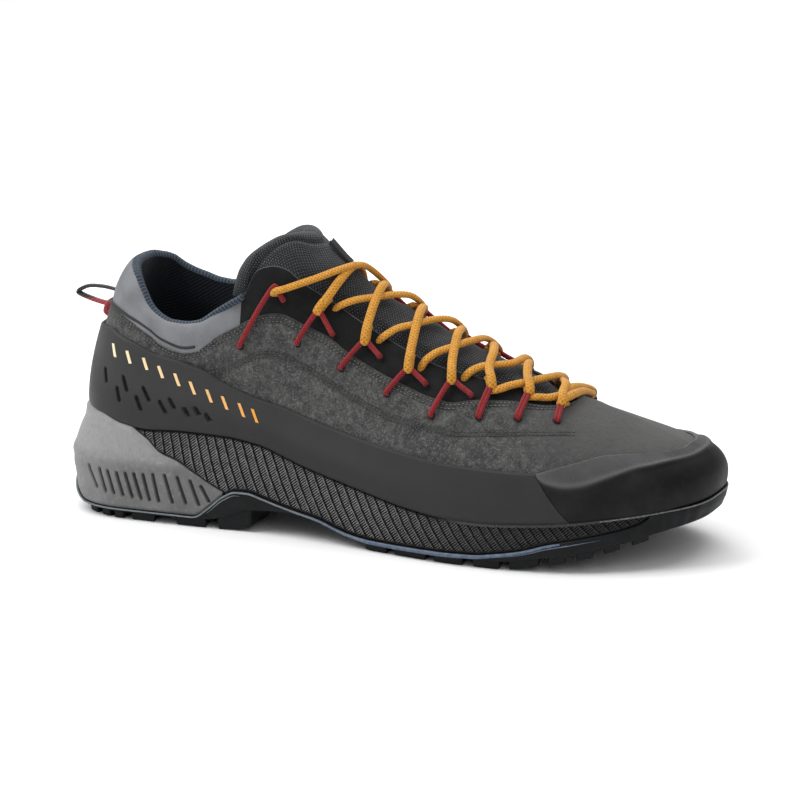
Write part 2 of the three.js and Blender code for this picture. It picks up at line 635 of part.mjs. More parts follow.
const sideLevels = [-0.06, 0.12, 0.35, 0.65, 0.85, 1];
const outsoleLevels = [-0.06, 0.12, 0.5, 1];
function soleBody(inset, levels = sideLevels) {
  const skin = new Skin();
  const rings = deckStations.map((section) => {
    const lateral = levels.map((level) => solePoint('lateral', section, level, inset));
    const medial = levels.map((level) => solePoint('medial', section, level, inset));
    return [...lateral, ...medial.reverse()];
  });
  rings.slice(1).forEach((ring, i) => skin.band(rings[i], ring));
  return solidOf(skin.geometry());
}

// The space between two curves over x, right across the shoe.
// All slabs share one pitch, so that curves a gap apart stay apart between their corners
const slabPitch = 5;
function slab(from, to, low, high) {
  const reach = 80;
  const skin = new Skin();
  const inner = [];
  for (let i = Math.ceil((from + 0.5) / slabPitch); i * slabPitch < to - 0.5; i += 1) {
    inner.push(i * slabPitch);
  }
  const rings = [from, ...inner, to].map((x) => {
    const bottom = low(x);
    const top = Math.max(high(x), bottom + 0.4);
    return [
      new THREE.Vector3(x, -reach, bottom), new THREE.Vector3(x, -reach, top),
      new THREE.Vector3(x, reach, top), new THREE.Vector3(x, reach, bottom),
    ];
  });
  rings.slice(1).forEach((ring, i) => skin.band(rings[i], ring));
  skin.lid(rings[0], false);
  skin.lid(rings[rings.length - 1], true);
  return solidOf(skin.geometry());
}

const aboveDeck = heelStack * 1.5;
const cradleFront = 0.272 * soleLength;
const midsoleRear = 0.122 * soleLength;
const midsoleFront = 0.93 * soleLength;
const outsoleTopZ = (x) => heelStack * outsoleTop(x);
const cradleTopZ = (x) => heelStack * cradleTop(x);

function block(corners) {
  const skin = new Skin();
  skin.quad(corners[3], corners[2], corners[1], corners[0]);
  skin.quad(corners[4], corners[5], corners[6], corners[7]);
  for (let i = 0; i < 4; i += 1) {
    const next = (i + 1) % 4;
    skin.quad(corners[i], corners[next], corners[4 + next], corners[4 + i]);
  }
  return solidOf(skin.geometry());
}

// Slanted grooves in the cradle's side, each square to the wall
function cradleGrooves() {
  const cutters = [];
  sides.forEach((side) => {
    let section = grooveStart;
    for (let i = 0; i < grooveCount; i += 1) {
      const face = solePoint(side, section, grooveLevel, 0);
      const ahead = solePoint(side, section + 0.004, grooveLevel, 0);
      const run = ahead.clone().sub(face).setZ(0);
      const pace = run.length() / 0.004;
      run.normalize();
      const out = new THREE.Vector3(-signOf[side] * run.y, signOf[side] * run.x, 0);
      const corner = (along, outward, up) => face.clone()
        .addScaledVector(run, along * grooveWidth * 0.5 - up * grooveLean * 0.5)
        .addScaledVector(out, outward)
        .add(new THREE.Vector3(0, 0, up * grooveHeight * 0.5));
      const ring = (up) => [
        corner(-1, -grooveDepth, up), corner(1, -grooveDepth, up),
        corner(1, soleFlare, up), corner(-1, soleFlare, up),
      ];
      cutters.push(block([...ring(-1), ...ring(1)]));
      section += groovePitch / pace;
    }
  });
  return joined(cutters);
}

function cradleShape() {
  const low = (x) => outsoleTopZ(x) + fitGap;
  const region = slab(-soleMargin, cradleFront, low, cradleTopZ);
  return geometryOf(soleBody(0).intersect(region).subtract(cradleGrooves()));
}

function midsoleShape() {
  const low = (x) => Math.max(outsoleTopZ(x), cradleTopZ(x)) + fitGap;
  const region = slab(midsoleRear, midsoleFront, low, () => aboveDeck);
  return geometryOf(soleBody(midsoleInset).intersect(region));
}

// A lug from its four corners in plan, standing in the base
function lug(corners, sink = lugSink) {
  const low = corners.map(([x, y]) => new THREE.Vector3(x, y, heelStack * lugUnderside(x)));
  const high = corners.map(([x, y]) => new THREE.Vector3(x, y, heelStack * baseUnderside(x) + sink));
  return block([...low, ...high]);
}

// Lugs along the sole's edge: from and to in shares of the length, depth in lug lengths
const edgeLugs = [
  { from: 0.03, to: 0.23, count: 4, depth: 1.3 },
  { from: 0.525, to: 0.955, count: 10, depth: 1.53 },
];
// Lugs in the middle of the sole: rows along the shoe, across in shares of ballWidth
const middleLugs = [
  { along: 0.075, across: [-0.097, 0.097] }, { along: 0.144, across: [0] },
  { along: 0.205, across: [-0.097, 0.097] }, { along: 0.56, across: [-0.194, 0, 0.194] },
  { along: 0.6, across: [-0.108, 0.13] }, { along: 0.64, across: [-0.216, 0, 0.238] },
  { along: 0.68, across: [-0.13, 0.151] }, { along: 0.72, across: [-0.238, 0.022, 0.27] },
  { along: 0.765, across: [-0.108, 0.162] }, { along: 0.81, across: [-0.216, 0.043, 0.281] },
  { along: 0.86, across: [-0.065, 0.194] }, { along: 0.905, across: [0.065] },
];
// The heel breast's blocks lie between these shares of the length
const breast = { from: 0.262, to: 0.318 };

// A point of the tread's plan, inwards from the sole's side
function treadPoint(side, section, inwards) {
  const grow = soleFlare * flareAt('share', section) * flareLevel(0) - lugInset - inwards;
  const foot = grownPlan(side, section, grow);
  return [foot.x, foot.y];
}

function edgeLug(side, from, to, depth) {
  const middle = (from + to) / 2;
  const inner = ((to - from) / 2) * lugTaper;
  const corners = [
    treadPoint(side, from, 0), treadPoint(side, to, 0),
    treadPoint(side, middle + inner, depth), treadPoint(side, middle - inner, depth),
  ];
  return lug(side === 'lateral' ? corners : corners.reverse());
}

function breastLug(side) {
  const [from, to] = [breast.from, breast.to]
    .map((along) => sectionOf((along * soleLength - heelRear) / lastLength));
  const corners = [
    treadPoint(side, from, 0), treadPoint(side, to, 0),
    treadPoint(side, to, breastDepth), treadPoint(side, from, breastDepth),
  ];
  return lug(side === 'lateral' ? corners : corners.reverse(), breastSink);
}

function outsoleShape() {
  const underside = (x) => heelStack * baseUnderside(x);
  const front = soleLength + soleMargin;
  const layer = slab(-soleMargin, front, underside, (x) => Math.min(outsoleTopZ(x), aboveDeck));
  const nose = slab(midsoleFront + fitGap, front, underside, () => aboveDeck);
  const base = soleBody(0, outsoleLevels).intersect(layer.add(nose));
  const lugs = [];
  edgeLugs.forEach(({ from, to, count, depth }) => {
    const first = sectionOf(from);
    const pitch = (sectionOf(to) - first) / count;
    for (let i = 0; i < count; i += 1) {
      const start = first + (i + (1 - lugShare) / 2) * pitch;
      const end = start + lugShare * pitch;
      sides.forEach((side) => lugs.push(edgeLug(side, start, end, depth * lugLength)));
    }
  });
  sides.forEach((side) => lugs.push(breastLug(side)));
  middleLugs.forEach(({ along, across }) => across.forEach((place) => {
    const [x, y] = [along * soleLength, place * ballWidth];
    const [halfX, halfY] = [lugLength / 2, lugWidth / 2];
    lugs.push(lug([
      [x - halfX, y - halfY], [x + halfX, y - halfY * 0.7],
      [x + halfX, y + halfY * 0.7], [x - halfX, y + halfY],
    ]));
  }));
  return geometryOf(base.add(joined(lugs)));
}

// A round cord with a ring of corners at each point
function cord(points, diameter) {
  const corners = 6;
  let up = new THREE.Vector3(0.1, 0.2, 1);
  return overlayShape(points.map((point, i) => {
    const ahead = points[Math.min(i + 1, points.length - 1)];
    const along = ahead.clone().sub(points[Math.max(i - 1, 0)]).normalize();
    up = up.clone().projectOnPlane(along).normalize();
    const aside = along.clone().cross(up);
    return Array.from({ length: corners }, (_, corner) => {
      const angle = (2 * Math.PI * corner) / corners;
      return point.clone()
        .addScaledVector(up, Math.cos(angle) * diameter / 2)
        .addScaledVector(aside, Math.sin(angle) * diameter / 2);
    });
  }));
}

const loopsOf = { lateral: lateralLoops, medial: medialLoops };

// A bar of lace from a loop on one side, over the tongue, to a loop on the other
function laceBar(fromSide, from, toSide, to) {
  const points = [0, 1 / 3, 2 / 3, 1].map((way) => {
    const path = THREE.MathUtils.lerp(from.share, 2 - to.share, way);
    const side = path <= 1 ? fromSide : toSide;
    const share = Math.min(path <= 1 ? path : 2 - path, 0.998);
    const section = sectionOf(THREE.MathUtils.lerp(from.at, to.at, way));
    return surfacePoint(side, section, share, laceLift);
  });
  return solidOf(cord(points, laceDiameter));
}

function laceShape() {
  const bars = [laceBar('lateral', lateralLoops[7], 'medial', medialLoops[7])];
  for (let i = 7; i > 0; i -= 1) {
    bars.push(laceBar('lateral', lateralLoops[i], 'medial', medialLoops[i - 1]));
    bars.push(laceBar('medial', medialLoops[i], 'lateral', lateralLoops[i - 1]));
  }
  return geometryOf(joined(bars));
}

// A cord loop from its back hole up to the lace and down to its front hole
function loopShape(side, row) {
  const single = row.front === undefined;
  const thickness = single ? doubleLeg : loopDiameter;
  const holes = single ? [row.back] : [row.back, row.front];
  const legs = holes.map(([at, share]) => (
    surfacePoint(side, sectionOf(at), share, thickness / 2 + fitGap)));
  const middle = legs[0].clone().lerp(legs[legs.length - 1], 0.5);
  const lace = surfacePoint(side, sectionOf(row.at), row.share, laceLift);
  const away = middle.sub(lace).normalize();
  const short = single ? laceDiameter / 4 : thickness / 2;
  const tip = lace.clone().addScaledVector(away, short + fitGap + loopReach);
  if (single) return cord([legs[0], tip], thickness);
  const shoulders = legs.map((leg) => tip.clone().lerp(leg, 0.22));
  return cord([legs[0], shoulders[0], tip, shoulders[1], legs[1]], thickness);
}

// Heel pull loop: out of the collar seam, round a bend behind the heel and back into its tab
const pullHigh = 0.52;
const pullLow = 0.44;
function pullPoints() {
  const high = surfacePoint('lateral', 0, pullHigh, fitGap);
  const low = surfacePoint('lateral', 0, pullLow, tabThickness + fitGap);
  const place = (reach, z) => new THREE.Vector3(high.x - reach * pullReach, 0, z);
  const bend = new THREE.CatmullRomCurve3([
    high, place(0.38, high.z - 0.4), place(0.75, high.z - 1), place(1, (high.z + low.z) / 2),
    place(0.75, low.z + 0.6), low,
  ]);
  return bend.getPoints(10);
}

function pullTabShape() {
  const rows = [
    { share: 0.035, out: 0 }, { share: -0.035, out: 0 }, { share: -0.03, out: 0.7 },
    { share: 0, out: 1 }, { share: 0.03, out: 0.7 },
  ];
  const tab = new THREE.Shape();
  tab.setFromPoints(rows.map(({ share, out }) => {
    const point = surfacePoint('lateral', 0, pullLow + share, fitGap + out * (tabThickness - fitGap));
    return new THREE.Vector2(point.x, point.z);
  }));
  const shape = new THREE.ExtrudeGeometry(tab, { depth: tabWidth, steps: 1, bevelEnabled: false });
  return shape.rotateX(Math.PI / 2).translate(0, tabWidth / 2, 0);
}

const finishes = {
  suede: new THREE.MeshStandardMaterial({ color: '#5b5b5a', roughness: 0.95, metalness: 0 }),
  rand: new THREE.MeshStandardMaterial({ color: '#353535', roughness: 0.6, metalness: 0 }),
  textile: new THREE.MeshStandardMaterial({ color: '#57585a', roughness: 0.9, metalness: 0 }),
  foam: new THREE.MeshStandardMaterial({ color: '#333333', roughness: 0.8, metalness: 0 }),
  cradle: new THREE.MeshStandardMaterial({ color: '#7d7d7d', roughness: 0.6, metalness: 0 }),
  rubber: new THREE.MeshStandardMaterial({ color: '#17181a', roughness: 0.55, metalness: 0 }),
  footbed: new THREE.MeshStandardMaterial({ color: '#22252c', roughness: 0.95, metalness: 0 }),
  lace: new THREE.MeshStandardMaterial({ color: '#e8a02a', roughness: 0.85, metalness: 0 }),
  loop: new THREE.MeshStandardMaterial({ color: '#c8323c', roughness: 0.8, metalness: 0 }),
};

const shoe = new THREE.Group();
function addPiece(name, geometry, finish) {
  const mesh = new THREE.Mesh(geometry, finishes[finish].clone());
  mesh.name = name;
  shoe.add(mesh);
}

addPiece('outsole', outsoleShape(), 'rubber');
addPiece('heel_cradle', cradleShape(), 'cradle');
addPiece('midsole', midsoleShape(), 'foam');
addPiece('insole', insoleShape(), 'footbed');
addPiece('upper', upperShape(), 'suede');
addPiece('side_rand', sideRandShape(), 'rand');
addPiece('toe_cap', toeCapShape(), 'rand');
addPiece('tongue', tongueShape(), 'textile');
addPiece('lace', laceShape(), 'lace');
sides.forEach((side) => loopsOf[side].forEach((row, i) => {
  addPiece(`lace_loop_${side}_${i + 1}`, loopShape(side, row), 'loop');
}));
addPiece('pull_loop', cord(pullPoints(), pullDiameter), 'loop');
addPiece('pull_tab', pullTabShape(), 'loop');
shoe.position.set(-heelRest, 0, 0);
shoe.updateMatrixWorld(true);

export default shoe;
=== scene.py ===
import math
import bpy
import numpy as np
from mathutils import Matrix, Vector


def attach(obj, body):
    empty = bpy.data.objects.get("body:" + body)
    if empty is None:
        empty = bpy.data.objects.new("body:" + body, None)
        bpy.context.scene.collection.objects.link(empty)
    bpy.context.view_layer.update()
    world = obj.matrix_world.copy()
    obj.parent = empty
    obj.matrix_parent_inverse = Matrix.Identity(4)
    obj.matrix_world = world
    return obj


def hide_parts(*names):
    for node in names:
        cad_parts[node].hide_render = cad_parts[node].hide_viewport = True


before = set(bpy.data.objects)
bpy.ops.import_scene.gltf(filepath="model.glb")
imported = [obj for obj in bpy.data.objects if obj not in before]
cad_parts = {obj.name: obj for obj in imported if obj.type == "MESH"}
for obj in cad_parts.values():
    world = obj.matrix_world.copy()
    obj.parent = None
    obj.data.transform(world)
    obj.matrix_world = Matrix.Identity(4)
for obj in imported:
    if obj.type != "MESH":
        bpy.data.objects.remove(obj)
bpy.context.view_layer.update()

# ---- camera and lights ----
cameraPlace = dict(azimuth=23, elevation=14.3, roll=-0.6, distance=1.8, lens=189.7,
                   sensor=36, reach=20, target=(0.1065, 0, 0.056))


def addCamera():
    a, e, r = (math.radians(cameraPlace[k]) for k in ("azimuth", "elevation", "roll"))
    back = Vector((math.sin(a) * math.cos(e), -math.cos(a) * math.cos(e), math.sin(e)))
    right = Vector((math.cos(a), math.sin(a), 0))
    up = back.cross(right)
    turnedRight = right * math.cos(r) + up * math.sin(r)
    turnedUp = up * math.cos(r) - right * math.sin(r)
    camera = bpy.data.objects.new("camera", bpy.data.cameras.new("camera"))
    bpy.context.collection.objects.link(camera)
    place = Matrix((turnedRight, turnedUp, back)).transposed().to_4x4()
    place.translation = Vector(cameraPlace["target"]) + back * cameraPlace["distance"]
    camera.matrix_world = place
    camera.data.lens = cameraPlace["lens"]
    camera.data.sensor_width = cameraPlace["sensor"]
    camera.data.clip_end = cameraPlace["reach"]
    bpy.context.scene.camera = camera


lights = [
    dict(name="key", place=(-0.85, -0.55, 1.15), size=0.8, power=15),
    dict(name="top", place=(0.15, 0.45, 2.3), size=2.6, power=44),
    dict(name="front", place=(0.9, -1.0, 0.9), size=0.9, power=3.5),
    dict(name="rear", place=(-0.5, 0.9, 0.8), size=0.6, power=5),
]
studio = dict(aim=(0.1, 0, 0.05), white=(1, 1, 1, 1), strength=0.42)


def addLights():
    aim = Vector(studio["aim"])
    for light in lights:
        data = bpy.data.lights.new(light["name"], "AREA")
        data.energy = light["power"]
        data.size = light["size"]
        lamp = bpy.data.objects.new(light["name"], data)
        bpy.context.collection.objects.link(lamp)
        lamp.location = light["place"]
        lamp.rotation_euler = (aim - lamp.location).to_track_quat("-Z", "Y").to_euler()
    world = bpy.data.worlds.new("studio")
    world.use_nodes = True
    background = world.node_tree.nodes["Background"].inputs
    background["Color"].default_value = studio["white"]
    background["Strength"].default_value = studio["strength"]
    bpy.context.scene.world = world
    bpy.context.scene.view_settings.view_transform = "Standard"


# ---- shader maths ----
class Wire:
    # a socket whose values can be added, scaled and compared like numbers
    def __init__(self, finish, socket):
        self.finish, self.socket = finish, socket

    def sum(self, operation, a, b=None):
        values = {0: a} if b is None else {0: a, 1: b}
        return self.finish.node("Math", dict(operation=operation), values)

    def __add__(self, other): return self.sum("ADD", self, other)
    def __radd__(self, other): return self.sum("ADD", other, self)
    def __sub__(self, other): return self.sum("SUBTRACT", self, other)
    def __rsub__(self, other): return self.sum("SUBTRACT", other, self)
    def __mul__(self, other): return self.sum("MULTIPLY", self, other)
    def __truediv__(self, other): return self.sum("DIVIDE", self, other)
    def sine(self): return self.sum("SINE", self)
    def fraction(self): return self.sum("FRACT", self)
    def size(self): return self.sum("ABSOLUTE", self)
    def most(self, other): return self.sum("MAXIMUM", self, other)


class Finish:
    # one material; node() is the only way in which it gets its nodes
    def __init__(self, name):
        self.material = bpy.data.materials.new(name)
        self.material.use_nodes = True
        self.tree = self.material.node_tree
        self.shader = self.tree.nodes["Principled BSDF"]

    def node(self, kind, settings=None, values=None, output=0):
        made = self.tree.nodes.new("ShaderNode" + kind)
        for key, value in (settings or {}).items():
            if key == "stops":
                ramp = made.color_ramp
                while len(ramp.elements) < len(value):
                    ramp.elements.new(0.5)
                for element, (position, colour) in zip(ramp.elements, value):
                    element.position, element.color = position, (*colour, 1)
            else:
                setattr(made, key, value)
        for key, value in (values or {}).items():
            if isinstance(value, Wire):
                self.tree.links.new(value.socket, made.inputs[key])
            else:
                made.inputs[key].default_value = value
        return Wire(self, made.outputs[output])

    def place(self): return self.node("TexCoord", output="Object")
    def uv(self): return self.node("UVMap", dict(uv_map="UVMap"))
    def attribute(self, name): return self.node("Attribute", dict(attribute_name=name), output="Fac")

    def split(self, vector):
        parts = self.node("SeparateXYZ", values={0: vector}).socket.node.outputs
        return [Wire(self, part) for part in parts]

    def noise(self, scale, detail, roughness):
        values = {"Vector": self.place(), "Scale": scale, "Detail": detail, "Roughness": roughness}
        return self.node("TexNoise", values=values, output="Fac")

    def cells(self, scale):
        values = {"Vector": self.place(), "Scale": scale}
        return self.node("TexVoronoi", dict(feature="SMOOTH_F1"), values, output="Distance")

    def fit(self, value, low, high):
        values = {"Value": value, "From Min": low, "From Max": high}
        return self.node("MapRange", dict(interpolation_type="SMOOTHSTEP"), values)

    def blend(self, share, a, b):
        values = {"Factor": share, "A": colour(a), "B": colour(b)}
        made = self.tree.nodes.new("ShaderNodeMix")
        made.data_type = "RGBA"
        for socket in made.inputs:
            if socket.type == "RGBA" and socket.name in "AB" or socket.name == "Factor" and socket.type == "VALUE":
                value = values[socket.name]
                if isinstance(value, Wire):
                    self.tree.links.new(value.socket, socket)
                else:
                    socket.default_value = value
        return Wire(self, next(s for s in made.outputs if s.type == "RGBA"))

    def finish(self, tint, rough, height=None, strength=0.0, depth=0.0003, specular=0.5, sheen=0.0, sheenRough=0.5):
        values = {"Base Color": tint, "Roughness": rough, "Specular IOR Level": specular, "Sheen Weight": sheen,
                  "Sheen Roughness": sheenRough}
        if height is not None:
            values["Normal"] = self.node("Bump", values={"Height": height, "Strength": strength, "Distance": depth})
        for key, value in values.items():
            if isinstance(value, Wire):
                self.tree.links.new(value.socket, self.shader.inputs[key])
            else:
                self.shader.inputs[key].default_value = value
        return self.material


def linear(text):
    parts = [int(text[i:i + 2], 16) / 255 for i in (1, 3, 5)]
    return tuple(p / 12.92 if p <= 0.04045 else ((p + 0.055) / 1.055) ** 2.4 for p in parts)


def colour(value):
    return (*linear(value), 1) if isinstance(value, str) else value


# ---- the last: the same form as the solids, in millimetres ----
last = dict(length=281.5, ballWidth=92.6, heelRear=6, heelRound=30, toeRound=62, endPower=2.3, toeSwing=8.8,
            instepHeight=100, heelStack=42, soleLength=291, soleFlare=4, heelRest=42)

plan = [(0, .305, .3), (.105, .316, .305), (.21, .326, .305), (.35, .332, .284), (.455, .368, .295),
        (.56, .432, .347), (.664, .495, .432), (.741, .516, .474), (.822, .511, .505), (.909, .474, .505),
        (1, .463, .495)]
feather = [(0, 1.128), (.045, 1.088), (.09, 1.007), (.13, .976), (.19, .998), (.26, .99), (.32, .938),
           (.36, .848), (.395, .767), (.45, .676), (.51, .59), (.57, .51), (.63, .462), (.69, .448), (.74, .462),
           (.8, .49), (.86, .529), (.92, .571), (.97, .614), (1, .648)]
crest = [(0, .145, 0, 1.42), (.08, .16, 0, 1.42), (.16, .19, 0, 1.42), (.24, .245, 0, 1.41), (.32, .322, 0, 1.35),
         (.35, .352, 0, 1.31), (.385, .387, 0, 1.21), (.43, .432, .01, 1.11), (.48, .482, .02, 1.027),
         (.54, .54, .03, .943), (.6, .6, .035, .86), (.66, .66, .04, .785), (.72, .717, .045, .722),
         (.78, .765, .05, .67), (.85, .805, .06, .629), (.93, .832, .07, .606), (1, .838, .07, .6)]
lateralForm = [(0, .02, .22, .42, .25), (.03, .03, .24, .38, .2), (.08, .05, .26, .28, .12), (.18, .1, .32, .14, .05),
               (.3, .1, .34, .16, .02), (.4, .08, .36, .26, 0), (.5, .07, .38, .36, 0), (.6, .07, .4, .4, 0),
               (.7, .08, .42, .38, 0), (.8, .1, .44, .3, .03), (.9, .1, .45, .18, .08), (.97, .1, .45, .12, .04),
               (1, .1, .45, .08, 0)]
medialForm = [(0, .02, .22, .42, .25), (.03, .03, .24, .38, .2), (.08, .05, .26, .28, .12), (.18, .08, .32, .14, .05),
              (.3, .06, .34, .16, .02), (.4, .04, .36, .26, 0), (.5, .05, .38, .36, 0), (.6, .06, .4, .4, 0),
              (.7, .06, .42, .4, 0), (.8, .06, .36, .36, .165), (.9, .06, .34, .26, .27), (.97, .08, .44, .14, .155),
              (1, .1, .45, .08, 0)]
rimLine = [(0, .66, .66), (.015, .641, .648), (.07, .571, .589), (.1, .513, .545), (.117, .47, .523),
           (.142, .425, .494), (.169, .396, .465), (.194, .39, .455), (.217, .399, .458), (.245, .438, .478),
           (.273, .483, .513), (.29, .518, .54), (.298, .575, .58), (.306, .619, .62), (.321, .648, .65),
           (.338, .667, .668), (.374, .685, .685), (.43, .715, .715), (.503, .705, .705), (.569, .705, .705),
           (.639, .755, .755), (.7, .82, .82), (.76, .885, .885), (.8, .93, .93), (.83, 1, 1), (1, 1, 1)]
suedeLine = [(0, .465), (.028, .457), (.06, .437), (.102, .406), (.132, .373), (.158, .334), (.196, .305),
             (.219, .314), (.247, .354), (.275, .392), (.311, .453), (.353, .502), (.397, .539), (.429, .555),
             (.454, .542), (.514, .533), (.581, .539), (.624, .56), (.664, .632), (.72, .72), (.78, .81),
             (.812, .91), (.83, 1), (1, 1)]
randLine = [(0, .385), (.048, .377), (.076, .358), (.107, .335), (.15, .291), (.192, .265), (.234, .237),
            (.268, .204), (.326, .181), (.392, .208), (.501, .232), (.592, .26), (.687, .295), (.78, .333),
            (.805, .379), (.846, .461), (.883, .534), (.925, .57), (.965, .594), (1, .62)]
soleLines = [(-.02, .4, .27, .31), (0, .33, .21, .25), (.017, .19, .1, .15), (.041, .122, 0, .081), (.1, .117, 0, .079),
             (.22, .117, 0, .079), (.228, .125, 0, .081), (.251, .233, 0, .1), (.275, .37, 0, .143),
             (.295, .43, 0, .19),
             (.313, .432, .05, .236), (.337, .393, .2, .25), (.36, .348, .255, .262), (.385, .307, .265, .262),
             (.433, .245, .2, .2), (.467, .172, .12, .13), (.495, .134, .045, .093), (.522, .12, 0, .079),
             (.567, .117, 0, .079), (.622, .12, 0, .079), (.687, .134, 0, .079), (.725, .17, 0, .083),
             (.76, .214, .028, .11), (.8, .295, .081, .157), (.842, .352, .129, .2), (.883, .405, .207, .267),
             (.918, .476, .286, .333), (.945, .62, .348, .386), (.972, .7, .395, .424), (1.02, .75, .44, .47)]
cradleLine = [(0, 1.35), (.08, 1.35), (.1, 1.12), (.124, .97), (.148, .86), (.168, .745), (.199, .674), (.223, .581),
              (.251, .47), (.275, .39), (.3, .3), (.33, .1)]
flareAlong = [(0, 1.5), (.05, 1.35), (.15, 1.1), (.3, .9), (.6, 1), (.8, .9), (.92, .5), (1, .1)]
flareProfile = [(0, .7), (.12, .9), (.35, 1), (.65, .92), (.85, .62), (1, .42)]
tongueTop = [(.5, .262), (.57, .267), (.65, .28), (.72, .299), (.8, .322), (.88, .345), (.94, .354), (1, .358)]


def curveThrough(rows, column=1, key=lambda x: x):
    x = key(np.array([row[0] for row in rows], float))
    y = np.array([row[column] for row in rows], float)
    secant = np.diff(y) / np.diff(x)
    product, total = secant[:-1] * secant[1:], secant[:-1] + secant[1:]
    inner = np.where(product <= 0, 0, 2 * product / np.where(total == 0, 1, total))
    slope = np.concatenate([secant[:1], inner, secant[-1:]])

    def valueAt(place):
        place = np.asarray(place, float)
        i = np.clip(np.searchsorted(x, place) - 1, 0, len(x) - 2)
        span = x[i + 1] - x[i]
        t = np.clip((place - x[i]) / span, 0, 1)
        r = 1 - t
        return ((1 + 2 * t) * r * r * y[i] + t * r * r * span * slope[i]
                + t * t * (3 - 2 * t) * y[i + 1] - t * t * r * span * slope[i + 1])
    return valueAt


def sectionOf(at): return np.arccos(np.clip(1 - 2 * np.asarray(at, float), -1, 1)) / np.pi
def atOf(section): return (1 - np.cos(np.pi * np.asarray(section, float))) / 2


def along(rows, column=1): return curveThrough(rows, column, sectionOf)


planAt = {-1: along(plan, 1), 1: along(plan, 2)}
featherAt = along(feather)
crestAt = [along(crest, i) for i in (1, 2, 3)]
formAt = {-1: [along(lateralForm, i) for i in (1, 2, 3, 4)], 1: [along(medialForm, i) for i in (1, 2, 3, 4)]}
rimAt = {-1: along(rimLine, 1), 1: along(rimLine, 2)}
suedeAt, randAt, flareAt = along(suedeLine), along(randLine), along(flareAlong)
flareLevel = curveThrough(flareProfile)
tongueTopAt = curveThrough(tongueTop)
topOfOutsole, underLug, underBase = (curveThrough(soleLines, i, lambda x: x * last["soleLength"]) for i in (1, 2, 3))
topOfCradle = curveThrough(cradleLine, 1, lambda x: x * last["soleLength"])


def smooth(low, high, value):
    t = np.clip((np.asarray(value, float) - low) / (high - low), 0, 1)
    return t * t * (3 - 2 * t)


def bySide(side, pair, section):
    return np.where(side < 0, pair[-1](section), pair[1](section))


def planPoint(side, section):
    at = atOf(section)
    fromHeel, toToe = at * last["length"], (1 - at) * last["length"]
    power = last["endPower"]
    heel = np.clip((last["heelRound"] - fromHeel) / last["heelRound"], 0, 1)
    toe = np.clip((last["toeRound"] - toToe) / last["toeRound"], 0, 1)
    half = last["ballWidth"] * bySide(side, planAt, section)
    half = half * ((1 - heel ** power) * (1 - toe ** power)).clip(0) ** (1 / power)
    return last["heelRear"] + fromHeel, last["toeSwing"] * smooth(0.5, 1, at) + side * half


def grownPlan(side, section, grow):
    x, y = planPoint(side, section)
    step = 0.004
    ax, ay = planPoint(side, np.minimum(1, section + step))
    bx, by = planPoint(side, np.maximum(0, section - step))
    rx, ry = ax - bx, ay - by
    size = np.hypot(rx, ry)
    outX, outY = -side * ry / size, side * rx / size
    atHeel, atToe = section <= 0, section >= 1
    outX = np.where(atHeel, -1, np.where(atToe, 1, outX))
    outY = np.where(atHeel | atToe, 0, outY)
    return x + outX * grow, y + outY * grow, outX, outY


def featherHeight(x):
    at = np.clip((x - last["heelRear"]) / last["length"], 0, 1)
    return last["heelStack"] * featherAt(sectionOf(at))


def crestPoint(section):
    return (last["heelRear"] + last["length"] * crestAt[0](section), last["ballWidth"] * crestAt[1](section),
            last["instepHeight"] * crestAt[2](section))


def crestSlopeAt(at):
    ahead, behind = sectionOf(np.minimum(1, at + 0.02)), sectionOf(np.maximum(0, at - 0.02))
    ax, _, az = crestPoint(ahead)
    bx, _, bz = crestPoint(behind)
    return np.clip((az - bz) / (ax - bx), -0.6, 0)


def lastPoint(side, section, share):
    side, section, share = np.broadcast_arrays(np.asarray(side, float), section, share)
    at = atOf(section)
    lowX, lowY = planPoint(side, section)
    lowZ = last["heelStack"] * featherAt(section)
    highX, highY, highZ = crestPoint(section)
    bulge, rise, reach, drop = (bySide(side, {-1: formAt[-1][i], 1: formAt[1][i]}, section) for i in range(4))
    height = highZ - lowZ
    slope = crestSlopeAt(at)
    wallX, wallY = lowX - bulge * (highX - lowX), lowY - bulge * (highY - lowY)
    wallZ = lowZ + height * rise
    neckX, neckY = lowX + reach * (highX - lowX), lowY + reach * (highY - lowY)
    neckZ = highZ + slope * (neckX - highX) - drop * height
    r, t = 1 - share, share
    a, b, c, d = r ** 3, 3 * r * r * t, 3 * r * t * t, t ** 3
    return np.stack([a * lowX + b * wallX + c * neckX + d * highX, a * lowY + b * wallY + c * neckY + d * highY,
                     a * lowZ + b * wallZ + c * neckZ + d * highZ], -1)


def sideNormal(side, section, share):
    step = 0.002
    ahead, behind = np.minimum(1, section + step), np.maximum(0, section - step)
    run = lastPoint(side, ahead, share) - lastPoint(side, behind, share)
    above, below = np.minimum(1, share + step), np.maximum(0, share - step)
    rise = lastPoint(side, section, above) - lastPoint(side, section, below)
    out = np.cross(run, rise) * -np.asarray(side, float)[..., None]
    return out / np.linalg.norm(out, axis=-1, keepdims=True).clip(1e-9)


def lastNormal(side, section, share):
    side, section, share = np.broadcast_arrays(np.asarray(side, float), section, share)
    own = sideNormal(side, section, share)
    other = sideNormal(-side, section, share)
    ends = (np.maximum(smooth(0.012, 0, section), smooth(0.988, 1, section)) * 0.5)[..., None]
    own = own * (1 - ends) + other * ends
    slope = crestSlopeAt(atOf(section))
    up = np.stack([-slope, np.zeros_like(slope), np.ones_like(slope)], -1)
    up /= np.linalg.norm(up, axis=-1, keepdims=True)
    top = smooth(0.96, 1, share)[..., None]
    own = own * (1 - top) + up * top
    return own / np.linalg.norm(own, axis=-1, keepdims=True)


